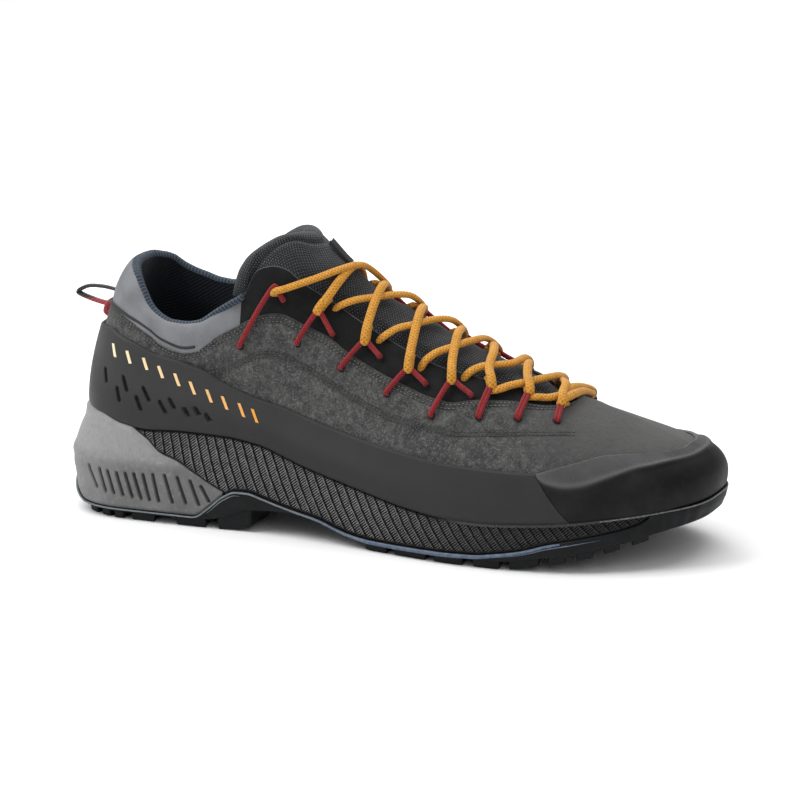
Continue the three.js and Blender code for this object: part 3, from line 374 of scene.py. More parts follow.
def surface(around, share, offset=0.0):
    # around runs from the toe (-1) along the outer side to the heel (0) and back along the inner side (1)
    around, share, offset = np.broadcast_arrays(np.asarray(around, float), share, offset)
    side, section = np.where(around < 0, -1.0, 1.0), np.abs(around)
    point = lastPoint(side, section, share) + lastNormal(side, section, share) * offset[..., None]
    foot = share <= 0
    point[..., 2] = np.where(foot, featherHeight(point[..., 0]), point[..., 2])
    return point


def spot(side, at, share, offset=0.0):
    return surface(side * float(sectionOf(at)), share, offset)


print("last ready")


# ---- making meshes ----
def toFrame(points):
    return (np.asarray(points, float).reshape(-1, 3) - (last["heelRest"], 0, 0)) * 0.001


def facingOut(points, faces):
    # the faces, all turned over when they enclose a negative volume
    fans = np.array([(f[0], f[k], f[k + 1]) for f in faces for k in range(1, len(f) - 1)])
    a, b, c = (points[fans[:, k]] for k in range(3))
    inward = np.einsum("ij,ij->", a, np.cross(b, c)) < 0
    return [face[::-1] for face in faces] if inward else faces


def makeMesh(name, points, faces, uv, values=None, sharp=50):
    points = toFrame(points)
    rounded = np.round(points * 1e6).astype(np.int64)
    _, first, index = np.unique(rounded, axis=0, return_index=True, return_inverse=True)
    index = index.reshape(-1)
    kept, corners, sources = points[first], [], []
    for face in facingOut(points, faces):
        ids = index[list(face)]
        row = [k for k in range(len(ids)) if ids[k] != ids[k - 1]]
        if len(row) > 2 and len({ids[k] for k in row}) == len(row):
            corners.append([int(ids[k]) for k in row])
            sources.extend(face[k] for k in row)
    mesh = bpy.data.meshes.new(name)
    mesh.from_pydata(kept.tolist(), [], corners)
    mesh.polygons.foreach_set("use_smooth", np.ones(len(corners), bool))
    layer = mesh.uv_layers.new(name="UVMap")
    layer.data.foreach_set("uv", np.asarray(uv, np.float32).reshape(-1, 2)[sources].ravel())
    for key, field in (values or {}).items():
        layer = mesh.attributes.new(key, "FLOAT", "POINT")
        layer.data.foreach_set("value", np.asarray(field, np.float32).ravel()[first])
    mesh.update()
    mesh.set_sharp_from_angle(angle=math.radians(sharp))
    made = bpy.data.objects.new(name, mesh)
    bpy.context.collection.objects.link(made)
    return made


def gridFaces(rows, columns, start=0, turned=False, closed=False):
    i, j = np.meshgrid(np.arange(rows if closed else rows - 1), np.arange(columns - 1), indexing="ij")
    a, b = start + i * columns + j, start + ((i + 1) % rows) * columns + j
    faces = np.stack([a, a + 1, b + 1, b] if not turned else [a, b, b + 1, a + 1], -1)
    return faces.reshape(-1, 4).tolist()


def lengths(grid):
    # arc lengths of a grid of points: along its rows' middle, and up each column
    rows, columns = grid.shape[:2]
    steps = [np.linalg.norm(np.diff(grid, axis=axis), axis=-1) for axis in (0, 1)]
    across = np.concatenate([np.zeros((1, columns)), np.cumsum(steps[0], axis=0)])
    up = np.concatenate([np.zeros((rows, 1)), np.cumsum(steps[1], axis=1)], 1)
    middle = across[:, columns // 2][:, None] * np.ones(across.shape)
    return np.stack([middle, up], -1)


def shell(name, outer, inner, values=None, closed=False, sharp=40, sewn=None):
    # a closed body from its outer and inner grids, joined along their edges;
    # where sewn is true the top edges of both sides meet, and need no edge face
    rows, high = outer.shape[:2]
    low = inner.shape[1]
    start = rows * high
    faces = gridFaces(rows, high, 0, False, closed) + gridFaces(rows, low, start, True, closed)
    for i in range(rows if closed else rows - 1):
        n = (i + 1) % rows
        for a, b in ((0, 0), (high - 1, low - 1)):
            if a and sewn is not None and sewn[i] and sewn[n]:
                continue
            face = [i * high + a, n * high + a, start + n * low + b, start + i * low + b]
            if a > 0:
                face.reverse()
            faces.append(face)
    if not closed:
        for i, flip in ((0, False), (rows - 1, True)):
            ring = [i * high + j for j in range(high)] + [start + i * low + j for j in range(low - 1, -1, -1)]
            if flip:
                ring.reverse()
            faces.append(ring)
    points = np.concatenate([outer.reshape(-1, 3), inner.reshape(-1, 3)])
    uv = np.concatenate([lengths(outer).reshape(-1, 2), lengths(inner).reshape(-1, 2)])
    bare = np.zeros(rows * low)
    fields = {key: np.concatenate([np.asarray(v, float).ravel(), bare]) for key, v in (values or {}).items()}
    return makeMesh(name, points, faces, uv, fields, sharp)


def runAlong(path):
    return np.concatenate([[0], np.cumsum(np.linalg.norm(np.diff(path, axis=0), axis=1))])


def tube(name, path, width, corners, height=None, upHint=None, relief=None, closed=False, parts=None, firstUp=None):
    # sweeps an oval along a path; relief(u, v) adds to its radius; with a list of parts it only joins that list
    path = np.asarray(path, float)
    n = len(path)
    tangent = np.gradient(path, axis=0) if not closed else np.roll(path, -1, 0) - np.roll(path, 1, 0)
    tangent /= np.linalg.norm(tangent, axis=1, keepdims=True)
    normal = np.zeros_like(path)
    up = np.array((0.1, 0.2, 1.0)) if firstUp is None else np.asarray(firstUp, float)
    for i in range(n):
        up = up if upHint is None else np.asarray(upHint[i], float)
        up = up - tangent[i] * (up @ tangent[i])
        up = up / np.linalg.norm(up)
        normal[i] = up
    aside = np.cross(tangent, normal)
    run = runAlong(path)
    angle = np.linspace(0, 2 * np.pi, corners + 1)
    radiusA = (np.ones(n) * width / 2)[:, None]
    radiusB = (np.ones(n) * (height if height is not None else width) / 2)[:, None]
    bump = relief(run[:, None], angle[None, :]) if relief else 0
    ring = (path[:, None, :] + normal[:, None, :] * ((radiusB + bump) * np.cos(angle))[..., None]
            + aside[:, None, :] * ((radiusA + bump) * np.sin(angle))[..., None])
    uv = np.stack(np.broadcast_arrays(run[:, None], angle[None, :] / (2 * np.pi)), -1)
    faces = gridFaces(n, corners + 1)
    points = ring.reshape(-1, 3)
    if not closed:
        for i, flip in ((0, True), (n - 1, False)):
            cap = [i * (corners + 1) + j for j in range(corners)]
            faces.append(cap if flip else cap[::-1])
    data = (points, faces, uv.reshape(-1, 2))
    if parts is not None:
        parts.append(data)
        return None
    return makeMesh(name, *data)


def joinParts(name, parts, values=None):
    points, faces, uv, start = [], [], [], 0
    for p, f, u in parts:
        points.append(np.asarray(p).reshape(-1, 3))
        faces.extend([[start + k for k in face] for face in f])
        uv.append(np.asarray(u).reshape(-1, 2))
        start += len(points[-1])
    return makeMesh(name, np.concatenate(points), faces, np.concatenate(uv), values)


def finishPiece(piece, material, nodes=()):
    piece.data.materials.clear()
    piece.data.materials.append(material)
    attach(piece, "root")
    if nodes:
        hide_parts(*nodes)
    return piece


def spline(points, count):
    # an even, smooth path through chosen points
    points = np.asarray(points, float)
    key = np.concatenate([[0], np.cumsum(np.linalg.norm(np.diff(points, axis=0), axis=1) ** 0.5)])
    padded = np.concatenate([[2 * points[0] - points[1]], points, [2 * points[-1] - points[-2]]])
    keys = np.concatenate([[-(key[1] - key[0])], key, [2 * key[-1] - key[-2]]])
    out = []
    for t in np.linspace(0, key[-1], count * 3):
        i = int(np.clip(np.searchsorted(key, t, side="right") - 1, 0, len(points) - 2))
        p, k = padded[i:i + 4], keys[i:i + 4]
        a1 = (k[1] - t) / (k[1] - k[0]) * p[0] + (t - k[0]) / (k[1] - k[0]) * p[1]
        a2 = (k[2] - t) / (k[2] - k[1]) * p[1] + (t - k[1]) / (k[2] - k[1]) * p[2]
        a3 = (k[3] - t) / (k[3] - k[2]) * p[2] + (t - k[2]) / (k[3] - k[2]) * p[3]
        b1 = (k[2] - t) / (k[2] - k[0]) * a1 + (t - k[0]) / (k[2] - k[0]) * a2
        b2 = (k[3] - t) / (k[3] - k[1]) * a2 + (t - k[1]) / (k[3] - k[1]) * a3
        out.append((k[2] - t) / (k[2] - k[1]) * b1 + (t - k[1]) / (k[2] - k[1]) * b2)
    return even(np.array(out), count)


def even(path, count):
    run = runAlong(path)
    goal = np.linspace(0, run[-1], count)
    return np.stack([np.interp(goal, run, path[:, k]) for k in range(3)], 1)


# ---- finishes ----
sole = dict(gap=0.3, cradleFront=0.272, cradleDepth=9, midsoleRear=0.122, midsoleFront=0.93, midsoleInset=1.1,
            toTop=99.0, noseWrap=2.1, ridgePitch=4.9, strokePitch=1.25, ridge=0.36, hatch=0.24,
            grooveWidth=1.35, grooveDepth=1.3)


def suedeFinish():
    f = Finish("suede")
    patches = f.noise(75, 3, 0.6)
    nap = f.noise(380, 4, 0.7)
    fibres = f.noise(1300, 3, 0.75)
    calm = 1 - f.attribute("front") * 0.7
    base = f.blend(f.fit(patches, 0.35, 0.68), "#353535", "#424241")
    base = f.blend(f.fit(nap, 0.45, 0.7) * calm * 0.7, base, "#5c5c5b")
    base = f.blend(f.fit(nap, 0.48, 0.3) * calm * 0.6, base, "#212121")
    base = f.blend(f.fit(fibres, 0.52, 0.72) * calm * 0.75, base, "#777775")
    base = f.blend(f.fit(fibres, 0.48, 0.3) * calm * 0.6, base, "#171717")
    base = f.blend(f.attribute("front") * 0.5, base, "#4a4a49")
    base = f.blend(f.attribute("seam") * 0.75, base, "#121212")
    base = f.blend(f.attribute("edge") * 0.6, base, "#1c1c1c")
    height = fibres * 0.7 + nap
    rough = 0.82 + f.fit(nap, 0.3, 0.7) * 0.14
    return f.finish(base, rough, height, 0.7, 0.0006, specular=0.15, sheen=0.12, sheenRough=0.6)


def randFinish(name="smooth rubber skin", base="#2b2b2c", low="#1b1b1c", ribs=0.0):
    f = Finish(name)
    mottled = f.noise(60, 4, 0.6)
    grain = f.noise(1400, 2, 0.5)
    dust = f.noise(260, 5, 0.7)
    band = f.attribute("band")
    # band: on the side rand painted light, lighter towards its top and darker towards the toe; on the toe cap the
    # ribbed band above the ridge, lighter partly by its own tone and partly as painted light on the cap's top
    tint = f.blend(band, low, base)
    tint = f.blend(f.fit(mottled, 0.4, 0.7) * 0.35, tint, "#2c2c2d")
    tint = f.blend(f.fit(dust, 0.56, 0.74) * 0.2, tint, "#3d3d3d")
    x = f.split(f.place())[0]
    # painted highlight: the upper part of the rand is painted lighter towards the heel's rear
    tint = f.blend(f.fit(x, 0.01, -0.035) * band * 0.3, tint, "#454546")
    # painted highlight along the toe cap's ridge
    tint = f.blend(f.attribute("ridge") * 0.6, tint, "#4a4a4a")
    # painted shade: the counter slots are painted near black
    tint = f.blend(f.fit(f.attribute("slot"), 0.1, 0.5), tint, "#010101")
    rough = 0.5 + f.fit(mottled, 0.3, 0.7) * 0.14 + f.fit(dust, 0.5, 0.75) * 0.12
    height = grain + dust * 0.5
    if ribs:
        height = height + (x * (2 * math.pi / ribs)).sine() * band * 1.2
    return f.finish(tint, rough, height, 0.16, specular=0.17 if ribs else 0.28)


def panelFinish():
    f = Finish("collar panel")
    grain = f.cells(1700)
    cloud = f.noise(70, 3, 0.5)
    fine = f.noise(1900, 2, 0.5)
    tint = f.blend(f.fit(cloud, 0.3, 0.7), "#5d5f62", "#74767a")
    tint = f.blend(f.fit(fine, 0.5, 0.75) * 0.3, tint, "#828486")
    return f.finish(tint, 0.5 + f.fit(cloud, 0.3, 0.7) * 0.15, grain + fine * 0.5, 0.18, specular=0.45)


def facingFinish():
    f = Finish("facing")
    grain = f.noise(1300, 3, 0.6)
    cloud = f.noise(120, 3, 0.5)
    tint = f.blend(f.fit(cloud, 0.35, 0.7), "#101111", "#191a1a")
    tint = f.blend(f.fit(grain, 0.5, 0.75) * 0.4, tint, "#2a2b2b")
    tint = f.blend(f.attribute("edge"), tint, "#4c5055")
    return f.finish(tint, 0.72 + grain * 0.15, grain, 0.3, specular=0.15)


def weaveFinish(name, pitch, dark, mid, light):
    # two crossing threads over a UV map in millimetres
    f = Finish(name)
    u, v, _ = f.split(f.uv())
    turn = 2 * math.pi / pitch
    across, up = (u * turn).sine(), (v * turn * 1.1).sine()
    cross = ((u + v) * (turn * 0.5)).sine() * ((u - v) * (turn * 0.5)).sine()
    fuzz = f.noise(1600, 3, 0.7)
    height = across * up * 0.5 + cross * 0.35 + fuzz * 0.8
    tint = f.blend(f.fit(height, -0.2, 0.9), dark, mid)
    tint = f.blend(f.fit(height, 0.6, 1.1) * 0.8, tint, light)
    tint = f.blend(f.fit(f.noise(80, 3, 0.5), 0.35, 0.7) * 0.25, tint, dark)
    return f.finish(tint, 0.85, height, 0.5, 0.0004, specular=0.25, sheen=0.15)


def meshFinish(name, pitch, dark, light):
    # knitted mesh with a dot of light in each cell, over a UV map in millimetres
    f = Finish(name)
    u, v, _ = f.split(f.uv())
    turn = 2 * math.pi / pitch
    dots = ((u * turn).sine() * ((v * turn) + (u * turn * 0.5)).sine())
    fuzz = f.noise(1500, 3, 0.7)
    tint = f.blend(f.fit(dots + fuzz * 0.5, 0.35, 1.0), dark, light)
    return f.finish(tint, 0.92, dots * 0.6 + fuzz * 0.6, 0.6, 0.0004, specular=0.2, sheen=0.1)


def cordFinish(name, dark, mid, light, pitch, contrast):
    # braided cover: u runs along the cord in millimetres, v once round it
    f = Finish(name)
    u, v, _ = f.split(f.uv())
    a, b = u * (2 * math.pi / pitch), v * (2 * math.pi * 5)
    strands = (a + b).sine().most((a - b).sine())
    fuzz = f.noise(1400, 3, 0.7)
    height = strands * contrast + fuzz * 0.6
    tint = f.blend(f.fit(height, 0.1, 0.75), dark, mid)
    tint = f.blend(f.fit(height, 0.7, 1.0) * 0.6, tint, light)
    tint = f.blend(f.fit(f.noise(420, 2, 0.6), 0.56, 0.68) * 0.45, tint, dark)
    return f.finish(tint, 0.75, height, 0.4, specular=0.3, sheen=0.1)


def foamFinish():
    # slanted bands of short raised strokes, each band closed by a rib and a groove; the colour follows the relief:
    # painted shade in the low parts and a painted highlight on strokes and ribs, the highlight weakening and the colour
    # darkening towards the front
    f = Finish("braided foam")
    x, _, z = f.split(f.place())
    u, v = x * 1000, z * 1000
    wave = (u + v * (0.3 + (u - 20) * 0.004)) / sole["ridgePitch"]
    part = wave.fraction()
    rib = f.fit((part - 0.5).size(), 0.11, 0.03)
    groove = f.fit((part - 0.67).size(), 0.13, 0.04)
    strokes = ((v - u * 0.8) * (2 * math.pi / sole["strokePitch"])).sine()
    fine = f.noise(1500, 3, 0.65)
    side = f.attribute("relief")
    broken = f.noise(520, 3, 0.7)
    height = (strokes * 0.62 * (1 - rib) + rib * 0.34 - groove * 0.75 + fine + (broken - 0.5) * 1.1) * side
    fade = f.fit(u, 95, 195)
    # painted shade in the low parts, painted highlight on the raised strokes and ribs
    tint = f.blend(f.fit(height, -0.35, 0.55), "#060606", "#343434")
    tint = f.blend(f.fit(height, 0.4, 1.2) * (1 - fade * 0.75), tint, "#8b8b8b")
    tint = f.blend(fade * 0.3, tint, "#161616")
    tint = f.blend(f.attribute("lip"), tint, "#4a4a4a")
    return f.finish(tint, 0.68 + fine * 0.15, height, 0.8, 0.0006, specular=0.2)


def cradleFinish():
    f = Finish("grey foam shell")
    u = f.split(f.uv())[0]
    cloud = f.noise(45, 4, 0.6)
    fine = f.noise(1700, 3, 0.6)
    pins = (u * (2 * math.pi / 1.25)).sine()
    band = f.attribute("band")
    x, _, z = f.split(f.place())
    tint = f.blend(f.fit(cloud, 0.3, 0.7), "#4d4d4e", "#656565")
    # painted highlight: the cradle's top is painted lighter towards the heel, and its rear is painted lighter again
    tint = f.blend(f.fit(z, 0.022, 0.032) * f.fit(x, 0.045, -0.01) * 0.75, tint, "#919191")
    tint = f.blend(f.fit(x, 0.03, -0.03) * 0.3, tint, "#858585")
    speckle = f.noise(420, 4, 0.7)
    tint = f.blend(f.fit(speckle, 0.5, 0.3) * 0.3, tint, "#5c5c5c")
    tint = f.blend(f.fit(speckle, 0.52, 0.75) * 0.28, tint, "#a2a2a2")
    tint = f.blend(f.fit(pins * band, 0.2, 1.0) * 0.35, tint, "#8c8c8c")
    tint = f.blend(f.fit(fine, 0.55, 0.75) * 0.3, tint, "#7c7c7c")
    # painted shade: the grooves are painted near black
    tint = f.blend(f.attribute("slot"), tint, "#0c0c0c")
    height = pins * band * 0.8 + fine * 0.5
    return f.finish(tint, 0.5 + cloud * 0.15, height, 0.3, specular=0.4)


def rubberFinish():
    f = Finish("black rubber")
    cloud = f.noise(130, 4, 0.65)
    fine = f.noise(1300, 3, 0.6)
    tint = f.blend(f.fit(cloud, 0.3, 0.75), "#060708", "#121416")
    tint = f.blend(f.fit(fine, 0.6, 0.8) * 0.3, tint, "#2b2d30")
    return f.finish(tint, 0.45 + cloud * 0.25, fine + cloud, 0.18, specular=0.2)


def lineFinish():
    f = Finish("tread line")
    x = f.split(f.place())[0]
    fine = f.noise(700, 3, 0.6)
    tint = f.blend(f.fit(x, 0.055, 0.1), "#5d6467", "#42526a")
    tint = f.blend(f.fit(fine, 0.4, 0.7) * 0.4, tint, "#7d8890")
    tint = f.blend(f.fit(x, 0.19, 0.215) * 0.7, tint, "#3a3f45")
    return f.finish(tint, 0.5 + fine * 0.1)


def plainFinish(name, dark, light, rough=0.6, scale=900, strength=0.2):
    f = Finish(name)
    fine = f.noise(scale, 3, 0.6)
    tint = f.blend(f.fit(fine, 0.3, 0.7), dark, light)
    return f.finish(tint, rough + fine * 0.1, fine, strength)


def pullFinish():
    # black above, red below, like the two strands of the loop
    f = Finish("pull cord")
    z = f.split(f.place())[2]
    u, v, _ = f.split(f.uv())
    strands = (u * (2 * math.pi / 1.6) + v * (2 * math.pi * 3)).sine()
    low = f.fit(z, 0.0905, 0.0895)
    black = f.blend(f.fit(strands, 0.2, 0.9) * 0.5, "#0d0d0e", "#4a4a4c")
    red = f.blend(f.fit(strands, 0.2, 0.9) * 0.6, "#7a1820", "#c2555c")
    return f.finish(f.blend(low, black, red), 0.6, strands, 0.3)


def barsFinish():
    f = Finish("printed bars")
    worn = f.noise(900, 3, 0.6)
    tint = f.blend(f.attribute("tone"), "#e9dcb4", "#e59a2c")
    tint = f.blend(f.fit(worn, 0.6, 0.75) * 0.4, tint, "#6b5a3a")
    return f.finish(tint, 0.5 + worn * 0.1)


finishes = dict(
    suede=suedeFinish(), rand=randFinish(), cap=randFinish("toe cap rubber", "#4a4a4a", "#0a0a0a", 0.0011),
    panel=panelFinish(), facing=facingFinish(),
    tongue=weaveFinish("tongue cloth", 1.25, "#0e0f11", "#2c2e31", "#76797e"),
    lining=meshFinish("collar mesh", 1.7, "#090c11", "#2c343e"),
    binding=meshFinish("collar knit", 0.8, "#2a323b", "#5b6876"),
    lace=cordFinish("orange braid", "#9a5a1a", "#dfab37", "#f6d27c", 1.5, 0.16),
    loop=cordFinish("red braid", "#56090f", "#981b22", "#c9504f", 1.3, 0.25),
    foam=foamFinish(), cradle=cradleFinish(), rubber=rubberFinish(), line=lineFinish(),
    thread=plainFinish("light thread", "#4c4c4a", "#747472", 0.7, 1500),
    darkThread=plainFinish("dark thread", "#2b2b2a", "#565654", 0.7, 1500),
    piping=plainFinish("black piping", "#070707", "#151515"),
    footbed=weaveFinish("footbed cloth", 1.1, "#0b0d11", "#181b21", "#30353d"),
    lip=plainFinish("seam edge", "#3f4244", "#73777a", 0.5),
    # hole: near black, painted as the shade inside the loops' holes
    pull=pullFinish(), bars=barsFinish(), hole=plainFinish("hole", "#020202", "#080808", 0.9),
    floor=plainFinish("floor", "#f6f6f6", "#f8f8f8", 0.9, 5, 0.0))
print("finishes ready")

# ---- upper ----
# how far both rows of each seam lie below the suede's edge, or below the contour line, in mm
seamDrops = dict(edge=(1.7, 3.4), contour=(0.0, 1.8))
upperSizes = dict(columns=610, rows=82, thickness=1.5, edge=0.8, wall=2.2, collarPad=3.2, throatFront=0.83,
                  seamDepth=0.22, bodySink=0.55)
# soft folds: side, at, share, angle of the fold in degrees, half length, half width, depth in mm
folds = [(-1, .545, .36, 62, 16, 4.5, .7), (-1, .60, .42, 66, 15, 4, .65), (-1, .665, .5, 70, 13, 4, .6),
         (-1, .50, .28, 56, 13, 5, .5), (-1, .735, .62, 78, 12, 4.5, .5), (-1, .235, .24, -14, 17, 4, .8),
         (-1, .17, .315, 8, 15, 3.2, .7), (1, .56, .38, 62, 16, 4.5, .7), (1, .63, .45, 66, 15, 4, .6),
         (1, .72, .58, 76, 13, 4.5, .55), (1, .21, .27, -10, 16, 4, .8), (-1, .81, .86, 84, 10, 4, .4),
         (1, .8, .84, 84, 10, 4, .4)]
# the long seam on the side: at and share
contour = [(.2275, .2275), (.2575, .245), (.2854, .285), (.3114, .3275), (.3373, .352), (.3633, .374), (.3912, .39),
           (.4072, .396), (.4271, .394), (.4631, .386), (.505, .378), (.5329, .378), (.5768, .397), (.6228, .4175),
           (.67, .462), (.7146, .515), (.7824, .605), (.83, .68)]


def contourShare(at):
    marks = np.array(contour)
    grid = np.linspace(marks[0, 0], marks[-1, 0], 260)
    share = np.convolve(np.pad(np.interp(grid, marks[:, 0], marks[:, 1]), 7, "edge"), np.ones(15) / 15, "valid")
    return np.interp(at, grid, share)


def directionsAt(side, at, share, reach):
    # unit vectors along the shoe and up its side at one spot of the skin
    run = spot(side, at + reach, share) - spot(side, max(0.0005, at - reach), share)
    rise = spot(side, at, share + 0.01) - spot(side, at, share - 0.01)
    return run / np.linalg.norm(run), rise / np.linalg.norm(rise)


def turnedPlace(away, run, rise, angle):
    x, y = away @ run, away @ rise
    c, s = math.cos(angle), math.sin(angle)
    return x * c + y * s, -x * s + y * c


def foldRelief(around, share):
    point = surface(around, share)
    relief = np.zeros(point.shape[:-1])
    for side, at, high, angle, length, width, depth in folds:
        u, v = turnedPlace(point - spot(side, at, high), *directionsAt(side, at, high, 0.01), math.radians(angle))
        v = v - side * 0.012 * u * u
        fade = np.exp(-(u / length) ** 2 * 1.6) * np.where(np.sign(around + 1e-9) == side, 1, 0)
        valley = -np.exp(-(v / width) ** 2 * 2)
        above = 0.55 * np.exp(-((v - 1.7 * width) / width) ** 2 * 1.5)
        below = 0.4 * np.exp(-((v + 1.8 * width) / width) ** 2 * 1.5)
        relief += depth * fade * (valley + above + below)
    return relief


def mmPerShare(around, share):
    up = surface(around, np.minimum(share + 0.01, 1)) - surface(around, np.maximum(share - 0.01, 0.001))
    return np.linalg.norm(up, axis=-1) / 0.02


def ringAround(count):
    return np.linspace(-1, 1, count + 1)[:-1]


def topCurve(curve, around):
    section = np.abs(around)
    rim = np.where(around < 0, rimAt[-1](section), rimAt[1](section))
    return np.minimum(curve(section), rim) if curve is not None else rim


def wallAt(section, height):
    fade = 1 - smooth(0.2, 0.28, atOf(section))
    return upperSizes["wall"] + upperSizes["collarPad"] * fade * smooth(0.35, 0.8, height)


def edgeFall(toEdge, radius):
    # how far a rounded edge falls back below the surface
    away = np.clip(radius - toEdge, 0, radius)
    return radius - np.sqrt(np.clip(radius * radius - away * away, 0, None))


def addSuede():
    around = ringAround(upperSizes["columns"])[:, None]
    section = np.abs(around)
    top = topCurve(suedeAt, around)
    t = np.concatenate([np.linspace(0, 0.94, upperSizes["rows"] - 10), np.linspace(0.95, 1, 10)])[None, :]
    share = top * t
    toEdge = (1 - t) * top * mmPerShare(around, top)
    at = atOf(section)
    throat = 1 - smooth(0.80, 0.828, at)
    fromContour = (contourShare(at) - share) * mmPerShare(around, share)
    rear, front = contour[0][0], contour[-1][0]
    sewn = smooth(rear - 0.004, rear + 0.01, at) * smooth(front + 0.004, front - 0.01, at)
    seam = throat * sum(np.exp(-((toEdge - d) / 0.5) ** 2) for d in seamDrops["edge"])
    seam = seam + 0.95 * sewn * sum(np.exp(-((fromContour - d) / 0.5) ** 2) for d in seamDrops["contour"])
    offset = foldRelief(around, share) - edgeFall(toEdge, upperSizes["edge"]) * throat - upperSizes["seamDepth"] * seam
    offset = offset - upperSizes["bodySink"] * sewn * smooth(0.4, -0.4, fromContour) * smooth(-7, -1, fromContour)
    outer = surface(around, share, offset)
    inner = surface(around, top * np.array([[0, 0.3, 0.6, 0.85, 1]]), -upperSizes["thickness"])
    fields = dict(front=smooth(0.68, 0.86, at) * smooth(0.25, 0.6, share), seam=np.minimum(seam, 1),
                  edge=np.where(toEdge < 0.7, 1.0, 0.0) * throat)
    fields = {key: field * np.ones(outer.shape[:2]) for key, field in fields.items()}
    closedFront = (section > sectionOf(upperSizes["throatFront"])).ravel()
    piece = shell("suede_body", outer, inner, fields, closed=True, sewn=closedFront)
    finishPiece(piece, finishes["suede"], ["upper"])


def addLining():
    around = ringAround(360)[:, None]
    section = np.abs(around)
    rim = topCurve(None, around)
    share = rim * np.linspace(0, 1, 36)[None, :]
    height = share / rim
    wall = wallAt(section, height)
    roll = 1.1 * smooth(0.55, 0.85, height) * (1 - smooth(0.2, 0.28, atOf(section)))
    outer = surface(around, rim * np.array([[0, 0.25, 0.5, 0.75, 0.9, 1]]), -1.55)
    inner = surface(around, share, -(wall + roll * np.sin(np.pi * np.clip((height - 0.55) / 0.45, 0, 1))))
    closedFront = (section > sectionOf(upperSizes["throatFront"])).ravel()
    piece = shell("collar_lining", outer, inner, closed=True, sewn=closedFront)
    finishPiece(piece, finishes["lining"])


collar = dict(front=0.3, overlap=0.035, bulge=1.9, columns=300, rows=26, pipingFront=0.215, pipingWidth=1.35,
              pipingOut=0.55, bindingFront=0.289, bindingWidth=4.4, bindingHeight=3.0)


def addCollar():
    end = float(sectionOf(collar["front"]))
    around = np.linspace(-end, end, collar["columns"])[:, None]
    section = np.abs(around)
    rim = topCurve(None, around)
    low = topCurve(suedeAt, around) - collar["overlap"]
    t = np.linspace(0, 1, collar["rows"])[None, :]
    share = low + (rim - low) * t
    fade = 1 - smooth(0.22, 0.3, atOf(section))
    bulge = collar["bulge"] * fade * np.sin(np.pi * np.clip((t - 0.12) / 0.88, 0, 1)) ** 0.6
    outer = surface(around, share, -0.85 + bulge - 0.5 * (1 - fade))
    inner = surface(around, low + (rim - low) * np.array([[0, 0.5, 1]]), -1.6)
    finishPiece(shell("collar_panel", outer, inner), finishes["panel"])
    # black piping in the seam over the suede
    end = float(sectionOf(collar["pipingFront"]))
    line = np.linspace(-end, end, 260)
    path = surface(line, topCurve(suedeAt, line) + 0.006, collar["pipingOut"])
    finishPiece(tube("collar_piping", path, collar["pipingWidth"], 10), finishes["piping"])
    # knitted roll round the mouth
    end = float(sectionOf(collar["bindingFront"]))
    line = np.linspace(-end, end, 420)
    rim = topCurve(None, line)
    middle = -(0.75 + wallAt(np.abs(line), 1.0)) / 2
    path = surface(line, rim - 0.004, middle + 0.15)
    hint = surface(line, rim + 0.02, middle) - path

    def ribs(u, v):
        return (0.035 * np.sin(2 * np.pi * u / 1.2) * np.sin(6 * v)
                - 0.22 * np.exp(-((np.abs(v - np.pi) - 1.05) / 0.12) ** 2))

    finishPiece(tube("collar_binding", path, collar["bindingWidth"], 22, collar["bindingHeight"], hint, ribs),
                finishes["binding"])


facing = dict(rear=0.2865, front=0.8265, overlap=0.04, edge=0.7, outer=0.75, inner=2.15)


def addFacings():
    for side in (-1, 1):
        at = np.linspace(facing["rear"], facing["front"], 300)
        around = (side * sectionOf(at))[:, None]
        rim = topCurve(None, around)
        low = topCurve(suedeAt, around) - facing["overlap"]
        t = np.concatenate([np.linspace(0, 0.93, 24), np.linspace(0.945, 1, 8)])[None, :]
        share = low + (rim - low) * t
        toEdge = (1 - t) * (rim - low) * mmPerShare(around, rim)
        outer = surface(around, share, -facing["outer"] - edgeFall(toEdge, facing["edge"]))
        inner = surface(around, low + (rim - low) * np.array([[0, 0.5, 1]]), -facing["inner"])
        edge = np.where(toEdge < 0.65, 1.0, 0.0) * np.ones(outer.shape[:2])
        name = "facing_lateral" if side < 0 else "facing_medial"
        finishPiece(shell(name, outer, inner, dict(edge=edge)), finishes["facing"])


addSuede()
addLining()
addCollar()
addFacings()
print("upper ready")

# ---- rand and toe cap ----
randSizes = dict(gap=0.4, thickness=1.3, seamSlant=15.5, capSeam=0.78, seamGap=0.3, fineHeel=0.29)
# counter slots: at and share of their middle, length in mm; each leans and is cut into the rand
slots = [(.0579, .195, 6.8), (.0838, .1375, 6.8), (.0958, .185, 7.1), (.1198, .115, 6.6), (.1337, .1525, 6.6),
         (.1617, .1, 6.0), (.1776, .115, 4.8), (.2016, .085, 4.4), (.2196, .0925, 4.4), (.2375, .072, 4.0)]
slotSizes = dict(width=1.4, depth=1.1, lean=-70, leanGain=14, reach=12)


def slotDepth(side, point):
    depth = np.zeros(point.shape[:-1])
    for at, share, length in slots:
        away = point - spot(side, at, share, 1.6)
        lean = math.radians(slotSizes["lean"] + slotSizes["leanGain"] * smooth(0.1, 0.24, at))
        u, v = turnedPlace(away, *directionsAt(side, at, share, 0.006), lean)
        fromMiddle = np.hypot(np.maximum(np.abs(u) - (length - slotSizes["width"]) / 2, 0), v)
        cut = smooth(slotSizes["width"] * 0.75, slotSizes["width"] * 0.4, fromMiddle)
        depth = np.maximum(depth, cut * (np.linalg.norm(away, axis=-1) < slotSizes["reach"]))
    return depth


